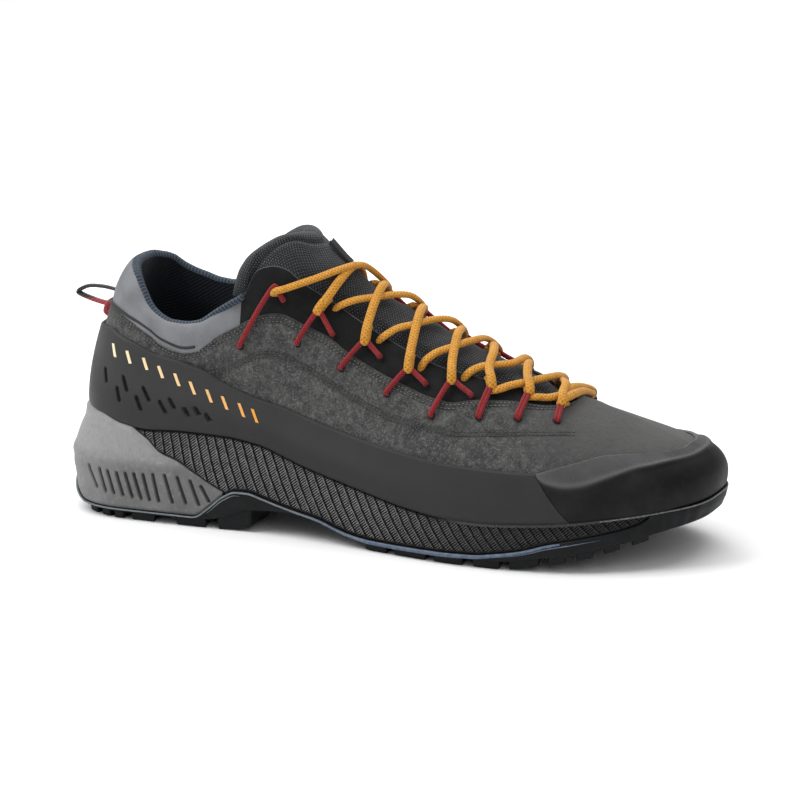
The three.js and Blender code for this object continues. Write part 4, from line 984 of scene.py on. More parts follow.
# the ridge across the toe cap's side: at and share
ridgeLine = [(.77, .335), (.7784, .315), (.7884, .279), (.8084, .2645), (.8323, .2775), (.8802, .3475), (.9321, .44),
             (.976, .4925), (1, .51)]
capHeight = 62  # mm of the skin's full height over the cap
ridgeAt = along(ridgeLine)


def fromRidge(at, share):
    # millimetres above the cap's ridge
    return (share - ridgeAt(sectionOf(np.clip(at, ridgeLine[0][0], 1)))) * capHeight


def capRelief(at, share):
    above = fromRidge(at, share)
    return 0.75 * np.exp(-((above + 0.2) / 1.5) ** 2) - 0.25 * smooth(-0.5, 1.6, above)


def overlayPiece(name, around, lean, rows, finish, node, tones):
    # a skin over the upper from its foot to the rand's top line; lean slants its front and rear ends
    isCap = node == "toe_cap"
    top = randAt(np.abs(around))[:, None]
    t = np.concatenate([np.linspace(0, 0.95, rows), np.linspace(0.965, 1, 6)])[None, :]
    section = np.abs(around)[:, None]
    side = np.where(around < 0, -1.0, 1.0)[:, None]
    at = atOf(section)
    place = side * sectionOf(np.minimum(1, at + lean(at) * (1 - t)))
    share = top * t
    full = randSizes["gap"] + randSizes["thickness"]
    plainOuter = surface(place, share, full)
    toEdge = (1 - t) * top * mmPerShare(place, share)
    depth = np.zeros(plainOuter.shape[:2])
    if not isCap:
        for s in (-1, 1):
            near = (at[:, 0] < 0.3) & (side[:, 0] == s)
            depth[near] = slotDepth(s, plainOuter[near])
    fromFoot = t * top * mmPerShare(place, np.full_like(share, 0.02))
    edges = 0.55 * full * smooth(0.9, 0.0, toEdge) + 0.45 * smooth(1.6, 0.2, fromFoot)
    offset = full - edges - depth * slotSizes["depth"]
    if isCap:
        offset = offset + capRelief(at, share)
    outer = surface(place, share, offset)
    back = np.linspace(0, 1, 5)[None, :]
    backPlace = side * sectionOf(np.minimum(1, at + lean(at) * (1 - back)))
    inner = surface(backPlace, top * back, randSizes["gap"] * 0.4)
    band, ridge = (field * np.ones(depth.shape) for field in tones(at, share, t))
    # slot: the cut depth, which the finish paints as shade; band and ridge carry the tones of randTones and capTones,
    # painted light among them
    finishPiece(shell(name, outer, inner, dict(slot=depth, band=band, ridge=ridge)), finishes[finish], [node])


# painted light: the rand is painted lighter towards its top and darker towards the toe
def randTones(at, share, t):
    return 0.45 + 0.55 * smooth(0.25, 0.6, t) * (1 - smooth(0.45, 0.75, at) * 0.7), 0.0


def capTones(at, share, t):
    # band: the ribbed band above the ridge, lighter partly by its own tone and partly as painted light on the cap's lit
    # top
    above = fromRidge(at, share)
    # ridge: a painted highlight along the cap's ridge
    return smooth(-1.2, 0.6, above), np.exp(-((above - 0.6) / 1.5) ** 2)


def addRands():
    slant = randSizes["seamSlant"] / last["length"]
    seam = float(sectionOf(randSizes["capSeam"]))
    fine = randSizes["fineHeel"]
    columns = [np.linspace(-seam, -fine, 150)[:-1], np.linspace(-fine, fine, 420), np.linspace(fine, seam, 150)[1:]]
    overlayPiece("side_rand_skin", np.concatenate(columns), lambda at: slant * smooth(0.6, randSizes["capSeam"], at),
                 60, "rand", "side_rand", randTones)
    seamEnd = randSizes["capSeam"] + randSizes["seamGap"] / last["length"]
    start = float(sectionOf(seamEnd))
    columns = [np.linspace(-start, -1, 190), np.linspace(1, start, 190)[1:]]
    overlayPiece("toe_cap_skin", np.concatenate(columns), lambda at: slant * (1 - smooth(seamEnd, 0.93, at)),
                 64, "cap", "toe_cap", capTones)


addRands()
print("rands ready")


# ---- sole ----
# grooves of the heel cradle: at and height of the top end, at and height of the bottom end
grooves = [(.0434, 22.0, .0534, 13.4), (.0592, 21.5, .0667, 12), (.0709, 20.9, .0792, 11.6), (.0842, 20.7, .0934, 11.1),
           (.0976, 20.8, .1084, 10.8), (.1118, 20.9, .1234, 10.4), (.1276, 21.1, .1376, 10.2),
           (.1443, 21.5, .1535, 10.1),
           (.1643, 21.8, .1768, 10.3), (.186, 21.4, .1993, 10.6), (.2077, 20.4, .221, 10.4), (.226, 18.5, .2385, 12.4)]


def soleSide(around, level, inset=0.0, out=0.0):
    around, level = np.broadcast_arrays(np.asarray(around, float), level)
    side, section = np.where(around < 0, -1.0, 1.0), np.abs(around)
    grow = last["soleFlare"] * flareAt(section) * flareLevel(np.maximum(level, 0)) - inset
    x, y, outX, outY = grownPlan(side, section, grow)
    return np.stack([x + outX * out, y + outY * out, level * (featherHeight(x) - sole["gap"])], -1)


def soleX(around):
    return soleSide(around, 0.5)[..., 0]


def sideRows(around, low, high, t, inset=0.0, out=0.0):
    # rows of the sole's side between two curves over x
    x = soleX(around)
    deck = featherHeight(x) - sole["gap"]
    bottom = low(x)
    top = np.minimum(np.maximum(high(x), bottom + 0.3), deck)
    level = (bottom + (top - bottom) * t) / deck
    return soleSide(around, level, inset, out)


def heightOf(curve): return lambda x: last["heelStack"] * curve(x)
def sectionAtX(x): return float(sectionOf((x - last["heelRear"]) / last["length"]))


def toSegment(point, a, b):
    along = b - a
    t = np.clip(((point - a) @ along) / (along @ along), 0, 1)
    return np.linalg.norm(point - (a + t[..., None] * along), axis=-1)


def grooveMask(point):
    mask = np.zeros(point.shape[:-1])
    for side in (-1, 1):
        for atTop, zTop, atLow, zLow in grooves:
            ends = []
            for at, z in ((atTop, zTop), (atLow, zLow)):
                around = side * float(sectionOf(at))
                ends.append(soleSide(around, float(levelAt(soleX(np.array(around)), z))))
            away = toSegment(point, *ends)
            half = sole["grooveWidth"] / 2
            mask = np.maximum(mask, smooth(half + 0.3, half - 0.25, away))
    return mask


# how far the rear of the heel swells beyond the plain sides, in mm, by height
rearOut = curveThrough([(0, 2.0), (6, 2.6), (11, 2.6), (16, 3.0), (21, 3.7), (26, 3.3), (30, 2.6), (35, 1.5), (41, 0)])


def heelSwell(around, height):
    return rearOut(height) * smooth(0.1, 0, atOf(np.abs(around)))


def levelAt(x, height):
    # share of the sole's full height at x
    return height / (featherHeight(x) - sole["gap"])


def addCradle():
    front = sole["cradleFront"] * last["soleLength"]
    end = sectionAtX(front)
    around = np.linspace(-end, end, 760)[:, None]
    t = np.linspace(0, 1, 58)[None, :]
    low = lambda x: heightOf(topOfOutsole)(x) + sole["gap"]
    plain = sideRows(around, low, heightOf(topOfCradle), t)
    mask = grooveMask(plain)
    height = plain[..., 2]
    shoulder = 0.55 * np.exp(-((height - 26.5) / 2.4) ** 2) - 0.25 * np.exp(-((height - 32) / 3.5) ** 2)
    tall = height[:, -1:] - height[:, :1]
    edges = -1.1 * smooth(1.8, 0, (1 - t) * tall) - 0.6 * smooth(1.2, 0, t * tall)
    panel = 0.35 * smooth(26, 22.5, height) * smooth(6.5, 8.5, height)
    out = shoulder + heelSwell(around, height) + edges - panel - mask * sole["grooveDepth"]
    outer = sideRows(around, low, heightOf(topOfCradle), t, 0, out)
    inner = sideRows(around, low, heightOf(topOfCradle), np.linspace(0, 1, 4)[None, :], sole["cradleDepth"])
    at = atOf(np.abs(around))
    band = smooth(26.5, 29, height) * smooth(40, 36, height) * smooth(0.03, 0.06, at) * smooth(0.16, 0.12, at)
    # slot carries the groove mask, which the finish paints as shade
    piece = shell("heel_cradle_shell", outer, inner, dict(slot=mask * 0.85, band=band))
    finishPiece(piece, finishes["cradle"], ["heel_cradle"])


def closeRings(rings, capped=True):
    # each ring joined to its own start, and a face over both ends
    rows, count = rings.shape[:2]
    closed = np.concatenate([rings, rings[:, :1]], 1)
    faces = gridFaces(rows, count + 1)
    if capped:
        faces.append(list(range(count))[::-1])
        faces.append([(rows - 1) * (count + 1) + j for j in range(count)])
    return closed, faces


def loft(name, rings, values=None):
    closed, faces = closeRings(rings)
    fields = {key: np.concatenate([field, field[:, :1]], 1) for key, field in (values or {}).items()}
    return makeMesh(name, closed.reshape(-1, 3), faces, lengths(closed).reshape(-1, 2), fields, 40)


def midsoleRelief(point):
    u, v = point[..., 0] - last["heelRest"], point[..., 2]
    part = ((u + v * (0.3 + (u - 20) * 0.004)) / sole["ridgePitch"]) % 1
    rib = smooth(0.16, 0.05, np.abs(part - 0.5)) - smooth(0.16, 0.05, np.abs(part - 0.67))
    return rib, np.sin(2 * np.pi * (v - u * 0.8) / sole["strokePitch"])


def addMidsole():
    rear, front = (sectionAtX(sole[end] * last["soleLength"]) for end in ("midsoleRear", "midsoleFront"))
    section = np.linspace(rear, front, 580)[:, None]
    t = np.linspace(0, 1, 52)[None, :]
    low = lambda x: np.maximum(heightOf(topOfOutsole)(x), heightOf(topOfCradle)(x)) + sole["gap"]
    high = lambda x: np.full_like(x, sole["toTop"])
    sides, fields, lips = [], [], []
    for side in (-1, 1):
        around = side * section
        plain = sideRows(around, low, high, t, sole["midsoleInset"])
        tall = plain[:, -1:, 2] - plain[:, :1, 2]
        ridge, hatch = midsoleRelief(plain)
        inside = smooth(0, 1.2, t * tall) * smooth(0, 1.6, (1 - t) * tall)
        lipped = smooth(0.60, 0.68, atOf(section))
        lip = smooth(1.5, 1.0, (1 - t) * tall) * lipped
        out = (sole["ridge"] * ridge + sole["hatch"] * hatch) * inside - 0.3 + 0.6 * lip
        out = out - 0.9 * smooth(1.3, 0.4, (1 - t) * tall) * (1 - lipped)
        sides.append(sideRows(around, low, high, t, sole["midsoleInset"], out))
        fields.append(inside)
        lips.append(lip)
    rings = np.concatenate([sides[0], sides[1][:, ::-1]], 1)
    relief, lip = (np.concatenate([pair[0], pair[1][:, ::-1]], 1) for pair in (fields, lips))
    piece = loft("midsole_wedge", rings, dict(relief=relief, lip=lip))
    finishPiece(piece, finishes["foam"], ["midsole"])


# lugs along the sole's edge: from and to along the plan, how far they reach inwards in mm
edgeLugs = [(.026, .043, 10), (.053, .067, 10), (.075, .090, 11), (.104, .143, 11), (.181, .230, 11),
            (.507, .545, 12), (.558, .612, 13), (.626, .673, 13), (.690, .731, 13), (.745, .790, 12),
            (.804, .829, 12), (.843, .866, 11), (.880, .901, 11), (.917, .938, 10)]
# lugs between them: place over the sole's length, and each lug's middle over the ball's width
middleLugs = [(.075, (-.097, .097)), (.144, (0,)), (.205, (-.097, .097)), (.56, (-.194, 0, .194)), (.6, (-.108, .13)),
              (.64, (-.216, 0, .238)), (.68, (-.13, .151)), (.72, (-.238, .022, .27)), (.765, (-.108, .162)),
              (.81, (-.216, .043, .281)), (.86, (-.065, .194)), (.905, (.065,))]
heelBlock = dict(rear=0.262, front=0.318, depth=20, sink=3, radius=1.6, flare=0.4)
middleLug = dict(halfLength=4.25, halfWidth=4.75, radius=0.8)


def roundedRing(corners, radius):
    corners, steps = np.asarray(corners, float), 4
    out = []
    for i, corner in enumerate(corners):
        before, after = corners[i - 1] - corner, corners[(i + 1) % len(corners)] - corner
        before, after = before / np.linalg.norm(before), after / np.linalg.norm(after)
        a, b = corner + before * radius, corner + after * radius
        for k in range(steps + 1):
            t = k / steps
            out.append(a * (1 - t) ** 2 + corner * 2 * t * (1 - t) + b * t * t)
    return np.array(out)


def partOf(grid, faces, uv=None):
    points = grid.reshape(-1, 3)
    return points, facingOut(points - points.mean(0), faces), points[:, :2] if uv is None else uv.reshape(-1, 2)


def lugBody(corners, sink=1.4, radius=1.1, flare=0.5):
    ring = roundedRing(corners, radius)
    away = ring - ring.mean(0)
    away /= np.linalg.norm(away, axis=1, keepdims=True)
    rows = []
    steps = ((0, -0.75, 0), (0, -0.35, 0.12), (0.06, 0, 0), (0.25, 0.1, 0), (0.7, flare * 0.6, 0), (1, flare, 0))
    for t, grow, lift in steps:
        p = ring + away * grow
        low = last["heelStack"] * underLug(p[:, 0])
        high = last["heelStack"] * underBase(p[:, 0]) + sink
        rows.append(np.concatenate([p, (low * (1 - t) + high * t + lift)[:, None]], 1))
    return partOf(*closeRings(np.array(rows)))


def upright(path):
    return np.tile((0.0, 0.0, 1.0), (len(path), 1))


def treadPoint(side, section, inwards):
    return soleSide(side * section, 0.0, 0.5 + inwards)[..., :2]


def addOutsole():
    length = last["soleLength"]
    section = np.linspace(0, 1, 620)[:, None]
    t = np.linspace(0, 1, 22)[None, :]
    low = heightOf(underBase)
    noseFrom = sole["midsoleFront"] * length + sole["gap"]
    high = lambda x: np.where(x > noseFrom, sole["toTop"], heightOf(topOfOutsole)(x))
    sides = []
    for side in (-1, 1):
        around = side * section
        plain = sideRows(around, low, high, t)
        tall = plain[:, -1:, 2] - plain[:, :1, 2]
        x = plain[..., 0]
        out = -0.8 * smooth(0.9, 0, t * tall) - 0.5 * smooth(0.7, 0, (1 - t) * tall)
        ribs = 0.18 * np.sin(2 * np.pi * x / 3.3) * smooth(0, 1.5, t * tall) * smooth(0, 1.5, (1 - t) * tall)
        nose = sole["noseWrap"] * smooth(0.94, 1, atOf(section)) * smooth(0, 6, t * tall)
        out = out + ribs * smooth(150, 165, x) + heelSwell(section, plain[..., 2]) + nose
        sides.append(sideRows(around, low, high, t, 0, out))
    rings = np.concatenate([sides[0], sides[1][:, ::-1]], 1)
    closed, faces = closeRings(rings, False)
    parts = [partOf(closed, faces, lengths(closed))]
    for fromAt, toAt, depth in edgeLugs:
        for side in (-1, 1):
            a, b = float(sectionOf(fromAt)), float(sectionOf(toAt))
            m, h = (a + b) / 2, (b - a) / 2 * 0.6
            edge = [treadPoint(side, s, 0) for s in np.linspace(a, b, 4)]
            parts.append(lugBody(edge + [treadPoint(side, m + h, depth), treadPoint(side, m - h, depth)]))
    for side in (-1, 1):
        a, b = sectionAtX(heelBlock["rear"] * length), sectionAtX(heelBlock["front"] * length)
        corners = [treadPoint(side, s, heelBlock["depth"] * deep) for s, deep in ((a, 0), (b, 0), (b, 1), (a, 1))]
        parts.append(lugBody(corners, heelBlock["sink"], heelBlock["radius"], heelBlock["flare"]))
    for place, across in middleLugs:
        for y in across:
            middle = np.array((place * length, y * last["ballWidth"]))
            half = (middleLug["halfLength"], middleLug["halfWidth"])
            arrow = ((-1, -1), (.4, -.9), (1, 0), (.4, .9), (-1, 1), (-.4, 0))
            corners = [middle + np.multiply(half, corner) for corner in arrow]
            parts.append(lugBody(corners, radius=middleLug["radius"]))
    finishPiece(joinParts("outsole_tread", parts), finishes["rubber"], ["outsole"])


# blue grey line along the tread's top edge: x and height in mm, then two short lines below it
lineHeights = [(0, .7), (60, .7), (85, .9), (110, .8), (130, 1.1), (150, 1.7), (185, 1.8), (215, 1.5), (235, 1),
               (262, .5)]
shortLines = [dict(rear=72, front=88, drop=1.9), dict(rear=212, front=252, drop=1.7)]
lineSizes = dict(front=0.815, width=1.1, shortWidth=0.7, toeRear=252, toeLevel=0.99, toeWidth=0.75, toeHeight=0.7)


def addSoleLines():
    end = sectionAtX(lineSizes["front"] * last["soleLength"])
    around = np.linspace(-end, end, 700)
    x = soleX(around)
    tall = np.interp(x, *zip(*lineHeights))
    z = heightOf(topOfOutsole)(x) - tall / 2 - 0.1
    path = soleSide(around, levelAt(x, z), 0, 0.05 + heelSwell(around, z))
    parts = []
    tube("", path, lineSizes["width"], 8, tall, upright(path), parts=parts)
    for side in (-1, 1):
        for line in shortLines:
            around = side * np.linspace(sectionAtX(line["rear"]), sectionAtX(line["front"]), 60)
            x = soleX(around)
            path = soleSide(around, levelAt(x, heightOf(topOfOutsole)(x) - line["drop"]), 0, -0.02)
            tapered = 0.6 * np.sin(np.linspace(0.15, np.pi - 0.15, 60)) + 0.05
            tube("", path, lineSizes["shortWidth"], 8, tapered, upright(path), parts=parts)
    finishPiece(joinParts("tread_line", parts), finishes["line"])
    # thin light edge between the toe cap and the rubber round the toe
    end = sectionAtX(lineSizes["toeRear"])
    around = np.concatenate([np.linspace(-end, -1, 130), np.linspace(1, end, 130)[1:]])
    path = soleSide(around, lineSizes["toeLevel"], 0, 0.25 + 1.9 * smooth(0.94, 1, atOf(np.abs(around))))
    piece = tube("toe_line", path, lineSizes["toeWidth"], 8, lineSizes["toeHeight"], upright(path))
    finishPiece(piece, finishes["lip"])


def addInsole():
    section = np.linspace(0.0, 1, 160)
    rings = []
    for s in section:
        inset = last["soleFlare"] * float(flareAt(s)) * 0.42 + 3.9
        left, right = (soleSide(side * (s or 1e-6), 1.0, inset)[:2] for side in (-1, 1))
        low = float(featherHeight(left[0]))
        across = np.linspace(0, 1, 22)
        fromMiddle = np.abs(across * 2 - 1)
        top = [left * (1 - k) + right * k for k in across]
        cup = low + 4 + 1.6 * fromMiddle ** 4 - 0.9 * (1 - fromMiddle ** 2)
        rings.append([(*p, z) for p, z in zip(top, cup)] + [(*right, low + 0.1), (*left, low + 0.1)])
    finishPiece(loft("footbed_plate", np.array(rings)), finishes["footbed"], ["insole"])


addCradle()
addMidsole()
addOutsole()
addSoleLines()
addInsole()
print("sole ready")

# ---- tongue ----
tongue = dict(edge=0.5, front=0.79, thickness=3.4, padding=4, gap=1.1, bodyPuff=1.7, topPuff=2.6, seamAt=0.945,
              seamDepth=0.9, sideSeamAt=0.86, sideSeamDepth=0.7, creaseDepth=0.35, creases=62)
tape = dict(low=0.845, high=0.925, outer=-0.04, inner=0.16, lift=1.6, gain=1.4, thickness=1.5)


def tonguePoint(along, across, depth):
    share = 1 - np.abs(across) * (1 - tongue["edge"])
    at = tongue["front"] + (tongueTopAt(share) - tongue["front"]) * along
    padded = tongue["thickness"] + tongue["padding"] * smooth(0.72, 0.96, along)
    edge = np.sqrt(np.clip(1 - np.abs(across) ** 8, 0.04, 1))
    thin = np.sqrt(np.clip(1 - (np.clip((along - 0.955) / 0.045, 0, 1)) ** 2.2, 0.02, 1))
    rim = np.where(across < 0, rimAt[-1](sectionOf(at)), rimAt[1](sectionOf(at)))
    free = smooth(0.0, 0.07, share - rim - 0.015)
    top = tongue["topPuff"] * smooth(0.74, 0.86, along) * smooth(1.0, 0.6, np.abs(across))
    puff = tongue["bodyPuff"] * free * smooth(0, 0.1, along) + top
    creases = tongue["creaseDepth"] * np.sin(along * tongue["creases"] + across * 3) * np.exp(-(across / 0.4) ** 2)
    puff = puff + creases * smooth(0.78, 0.6, along) * free
    puff = puff - tongue["seamDepth"] * np.exp(-((along - tongue["seamAt"]) / 0.008) ** 2)
    sideSeam = tongue["sideSeamDepth"] * np.exp(-((np.abs(across) - tongue["sideSeamAt"]) / 0.035) ** 2)
    puff = puff - sideSeam * smooth(0.7, 0.8, along)
    puff = np.where(depth > 0.5, 0, puff)
    offset = -(upperSizes["wall"] + tongue["gap"]) - padded / 2 + (padded / 2 + puff) * edge * thin * (1 - 2 * depth)
    around = np.where(across < 0, -1.0, 1.0) * sectionOf(at)
    return surface(around, share, offset)


def addTongue():
    along = np.concatenate([np.linspace(0, 0.9, 165)[:-1], np.linspace(0.9, 1, 62)])[:, None]
    across = np.linspace(-1, 1, 112)[None, :]
    outer, inner = tonguePoint(along, across, 0.0), tonguePoint(along, across, 1.0)
    piece = shell("tongue_pad", outer, inner)
    finishPiece(piece, finishes["tongue"], ["tongue"])
    # plain black tape on the tongue's front
    along = np.linspace(tape["low"], tape["high"], 12)[:, None]
    across = np.linspace(tape["outer"], tape["inner"], 16)[None, :]
    base = tonguePoint(along, across, 0.0)
    up = np.array((0.25, 0, 1.0)) / np.linalg.norm((0.25, 0, 1.0))
    lift = tape["lift"] + tape["gain"] * smooth(tape["low"], tape["high"], along)[..., None]
    piece = shell("tongue_tape", base + up * lift, base + up * (lift - tape["thickness"]))
    finishPiece(piece, finishes["piping"])


addTongue()
print("tongue ready")

# ---- laces and loops ----
lacing = dict(wide=3.9, high=2.7, loop=2.3, leg=1.8, legShift=0.36, holeDepth=0.8)
rim = dict(radius=1.55, width=0.7, height=0.6, out=0.12)
# apex of each loop on the outer and inner side, ankle to toe: at and share
apexes = {-1: [(.3393, .5875), (.4072, .63), (.483, .63), (.5569, .615), (.6228, .665), (.6806, .735), (.7365, .8),
               (.7944, .825)],
          1: [(.385, .66), (.463, .80), (.521, .80), (.583, .745), (.634, .72), (.680, .69), (.732, .66), (.79, .75)]}
# the holes that each loop comes out of; one hole where its two legs lie side by side
holes = {-1: [[(.29, .343), None], [(.38, .449), (.432, .574)], [(.452, .465), (.509, .596)],
              [(.53, .462), (.586, .587)], [(.605, .464), (.657, .639)], [(.677, .552)], [(.735, .625)],
              [(.797, .709)]],
         1: [[(.31, .4), (.362, .5)], [(.4, .47), (.515, .69)], [(.467, .475), (.573, .69)], [(.54, .48), (.632, .70)],
             [(.612, .5), (.672, .70)], [(.684, .57)], [(.737, .63)], [(.79, .7)]]}
# laces from the outer loops, then from the inner ones: at, path over the crest (0 outer feather, 1 crest,
# 2 inner feather) and height above the upper
legs = [[(.4132, .68, 3.0), (.4232, .815, 2.4), (.4271, .9425, 2.4), (.427, 1.1, 1.8), (.427, 1.26, .6),
         (.427, 1.32, -3)],
        [(.481, .70, 3.0), (.479, .815, 2.4), (.4751, .9525, 2.6), (.469, 1.12, 1.8), (.465, 1.27, .6),
         (.465, 1.32, -3)],
        [(.5529, .70, 3.0), (.5469, .825, 2.4), (.5409, .9275, 2.6), (.53, 1.12, 1.8), (.519, 1.28, .6),
         (.519, 1.32, -3)],
        [(.6148, .745, 3.0), (.6068, .855, 2.4), (.6008, .94, 2.6), (.592, 1.12, 1.8), (.585, 1.26, .6),
         (.585, 1.31, -3)],
        [(.6687, .80, 3.0), (.6627, .8625, 2.6), (.6567, .95, 2.6), (.64, 1.12, 1.8), (.627, 1.23, .6),
         (.627, 1.29, -3)],
        [(.7226, .88, 3.0), (.7106, .97, 2.8), (.702, 1.07, 1.8), (.693, 1.17, .6), (.692, 1.23, -2.6)],
        [(.7884, .89, 3.0), (.785, .97, 2.8), (.768, 1.05, 1.8), (.75, 1.12, .6), (.749, 1.17, -2.6)]]
arcs = [[(.425, .68, -2.6), (.4371, .722, .6), (.4531, .7825, 1.5), (.477, .875, 1.3), (.495, .9675, 2.0),
         (.511, 1.07, 3.2)],
        [(.497, .655, -2.6), (.509, .70, .6), (.523, .765, 1.5), (.5429, .8475, 1.3), (.5629, .97, 2.0),
         (.5768, 1.08, 3.0)],
        [(.569, .63, -2.6), (.5768, .69, .6), (.5868, .75, 1.5), (.6048, .845, 1.3), (.6208, .955, 2.0),
         (.6287, 1.11, 2.8)],
        [(.634, .70, -2.6), (.6427, .7575, .6), (.6547, .8175, 1.5), (.6687, .8725, 1.3), (.6886, .9475, 1.9),
         (.69, 1.12, 2.6)],
        [(.684, .745, -1.8), (.6812, .716, .1), (.6900, .722, 1.5), (.7066, .7875, 1.5), (.7265, .8725, 1.3),
         (.7465, .9725, 1.9), (.7475, 1.14, 2.4)],
        [(.741, .815, -1.8), (.7395, .785, .1), (.7495, .788, 1.5), (.7705, .83, 1.5), (.7904, .9175, 1.3),
         (.798, 1.0, 1.9)]]
# from the second inner loop over everything to the first outer loop
ankle = [(.4411, 1.07, 3.6), (.4331, .99, 3.9), (.4192, .8825, 3.2), (.3952, .75, 2.3), (.372, .655, 2.6),
         (.354, .592, 3.3), (.3425, .568, 3.4), (.3393, .561, 2.1), (.3405, .563, .7), (.346, .572, -1.8)]
# the bar between the two front loops: share of the way and height
bar = [(.14, -1.2), (.08, .5), (0, .9), (-.03, 2.2), (.02, 3.1), (.15, 2.8), (.5, 1.6), (.85, 1.8), (1, 2.6),
       (1.04, 2.0), (1.01, .9), (.92, -1.2)]


def onTop(at, path, lift):
    side = -1.0 if path <= 1 else 1.0
    return spot(side, at, min(path, 2 - path), lift)


# round a loop's tip: millimetres along the lace from the tip, and height
hook = [(7.0, -1.4), (5.0, 0.3), (2.0, 0.5), (-0.5, 0.9), (-1.5, 2.2), (-0.4, 3.4), (2.8, 3.9)]


def hooked(side, apex, toward):
    start = (apex[0], apex[1] if side < 0 else 2 - apex[1])
    begin, end = onTop(*start, 0), onTop(*toward[:2], 0)
    span = np.linalg.norm(end - begin)
    pace = [(goal - own) / span for own, goal in zip(start, toward)]
    rows = [onTop(start[0] + pace[0] * mm, start[1] + pace[1] * mm, lift) for mm, lift in hook]
    return rows, onTop(*start, 1) - begin


def braid(u, v):
    return 0.035 * np.sin(2 * np.pi * u / 1.5 + 5 * v) * np.sin(2 * np.pi * u / 1.5 - 5 * v)


def addLaces():
    parts = []

    def cord(points, count, firstUp):
        path = spline(points, count)
        tube("", path, lacing["wide"], 16, lacing["high"], relief=braid, parts=parts, firstUp=firstUp)

    for apex, leg in zip(apexes[-1][1:], legs):
        rows, firstUp = hooked(-1, apex, leg[0])
        cord(rows + [onTop(*row) for row in leg], 130, firstUp)
    for apex, arc, count in (*((a, b, 130) for a, b in zip(apexes[1][2:], arcs)), (apexes[1][1], ankle[::-1], 170)):
        rows, firstUp = hooked(1, apex, arc[-1])
        cord(rows[:-1] + [onTop(*row) for row in arc[::-1]], count, firstUp)
    start, stop = apexes[-1][7], apexes[1][7]
    points = []
    for t, lift in bar:
        forward = 0.022 * math.sin(math.pi * min(max(t, 0), 1))
        at, path = start[0] + (stop[0] - start[0]) * t + forward, start[1] + (2 - stop[1] - start[1]) * t
        points.append(onTop(at, path, lift))
    cord(points, 110, onTop(*start, 1) - onTop(*start, 0))
    finishPiece(joinParts("laces", parts), finishes["lace"], ["lace"])


def loopTwist(u, v):
    return 0.05 * np.sin(2 * np.pi * u / 1.3 + 2 * v)


def loopPoints(side, apex, feet):
    tip = spot(side, apex[0], apex[1] - 0.004, 2.35)

    def between(foot, share, lift):
        return spot(side, *(a + (b - a) * share for a, b in zip(foot, apex)), lift)

    if len(feet) == 2:
        front = feet[1] or (apex[0] + 0.014, apex[1] - 0.035)
        steps = ((0, -lacing["holeDepth"]), (0, 1.1), (0.16, 1.4), (0.6, 1.7), (0.93, 2.2))
        back, front = ([between(foot, *step) for step in steps] for foot in (feet[0], front))
        return back + [tip] + front[::-1]
    run = spot(side, feet[0][0] + 0.004, feet[0][1]) - spot(side, *feet[0])
    shift = run / np.linalg.norm(run) * lacing["leg"] * lacing["legShift"]
    steps = ((0, -0.8, 0.6), (0, 1.0, 0.9), (0.35, 1.5, 1), (0.75, 2.0, 1), (0.97, 2.3, 1))
    back, front = ([between(feet[0], share, lift) + k * shift * wide for share, lift, wide in steps] for k in (-1, 1))
    return back + [tip] + front[::-1]


def addLoops():
    rims = []
    for side, word in ((-1, "lateral"), (1, "medial")):
        for i, (apex, feet) in enumerate(zip(apexes[side], holes[side])):
            single = len(feet) == 1
            thickness, flat, count = (lacing["leg"], 0.95, 80) if single else (lacing["loop"], 0.9, 90)
            path = spline(loopPoints(side, apex, feet), count)
            piece = tube(f"cord_loop_{word}_{i + 1}", path, thickness, 12, thickness * flat, relief=loopTwist)
            finishPiece(piece, finishes["loop"], [f"lace_loop_{word}_{i + 1}"])
            front = () if single else (feet[1] or (apex[0] + 0.014, apex[1] - 0.035),)
            for at, share in (feet[0], *front):
                addRim(side, at, share, rims)
    # black rings round the holes, painted as the shade inside them
    finishPiece(joinParts("hole_rims", rims), finishes["hole"])


def addRim(side, at, share, rims):
    centre = spot(side, at, share, rim["out"])
    run = spot(side, at + 0.004, share, rim["out"]) - centre
    rise = spot(side, at, share + 0.01, rim["out"]) - centre
    run, rise = run / np.linalg.norm(run), rise / np.linalg.norm(rise)
    turn = np.linspace(0, 2 * np.pi, 20)[:-1, None]
    ring = centre + (run * np.cos(turn) + rise * np.sin(turn)) * rim["radius"]
    hint = np.tile(np.cross(run, rise), (len(ring), 1))
    tube("", ring, rim["width"], 8, rim["height"], hint, closed=True, parts=rims)


addLaces()
addLoops()
print("laces ready")


# ---- pull loop ----
pull = dict(aside=-2.6, half=5.6, thick=4.3, high=0.505, low=0.44, cordWidth=3.0, cordHeight=1.7, sleeveShare=0.036,
            fallBack=0.028)


def pullTwist(u, v):
    return 0.06 * np.sin(2 * np.pi * u / 1.2 + 2 * v)


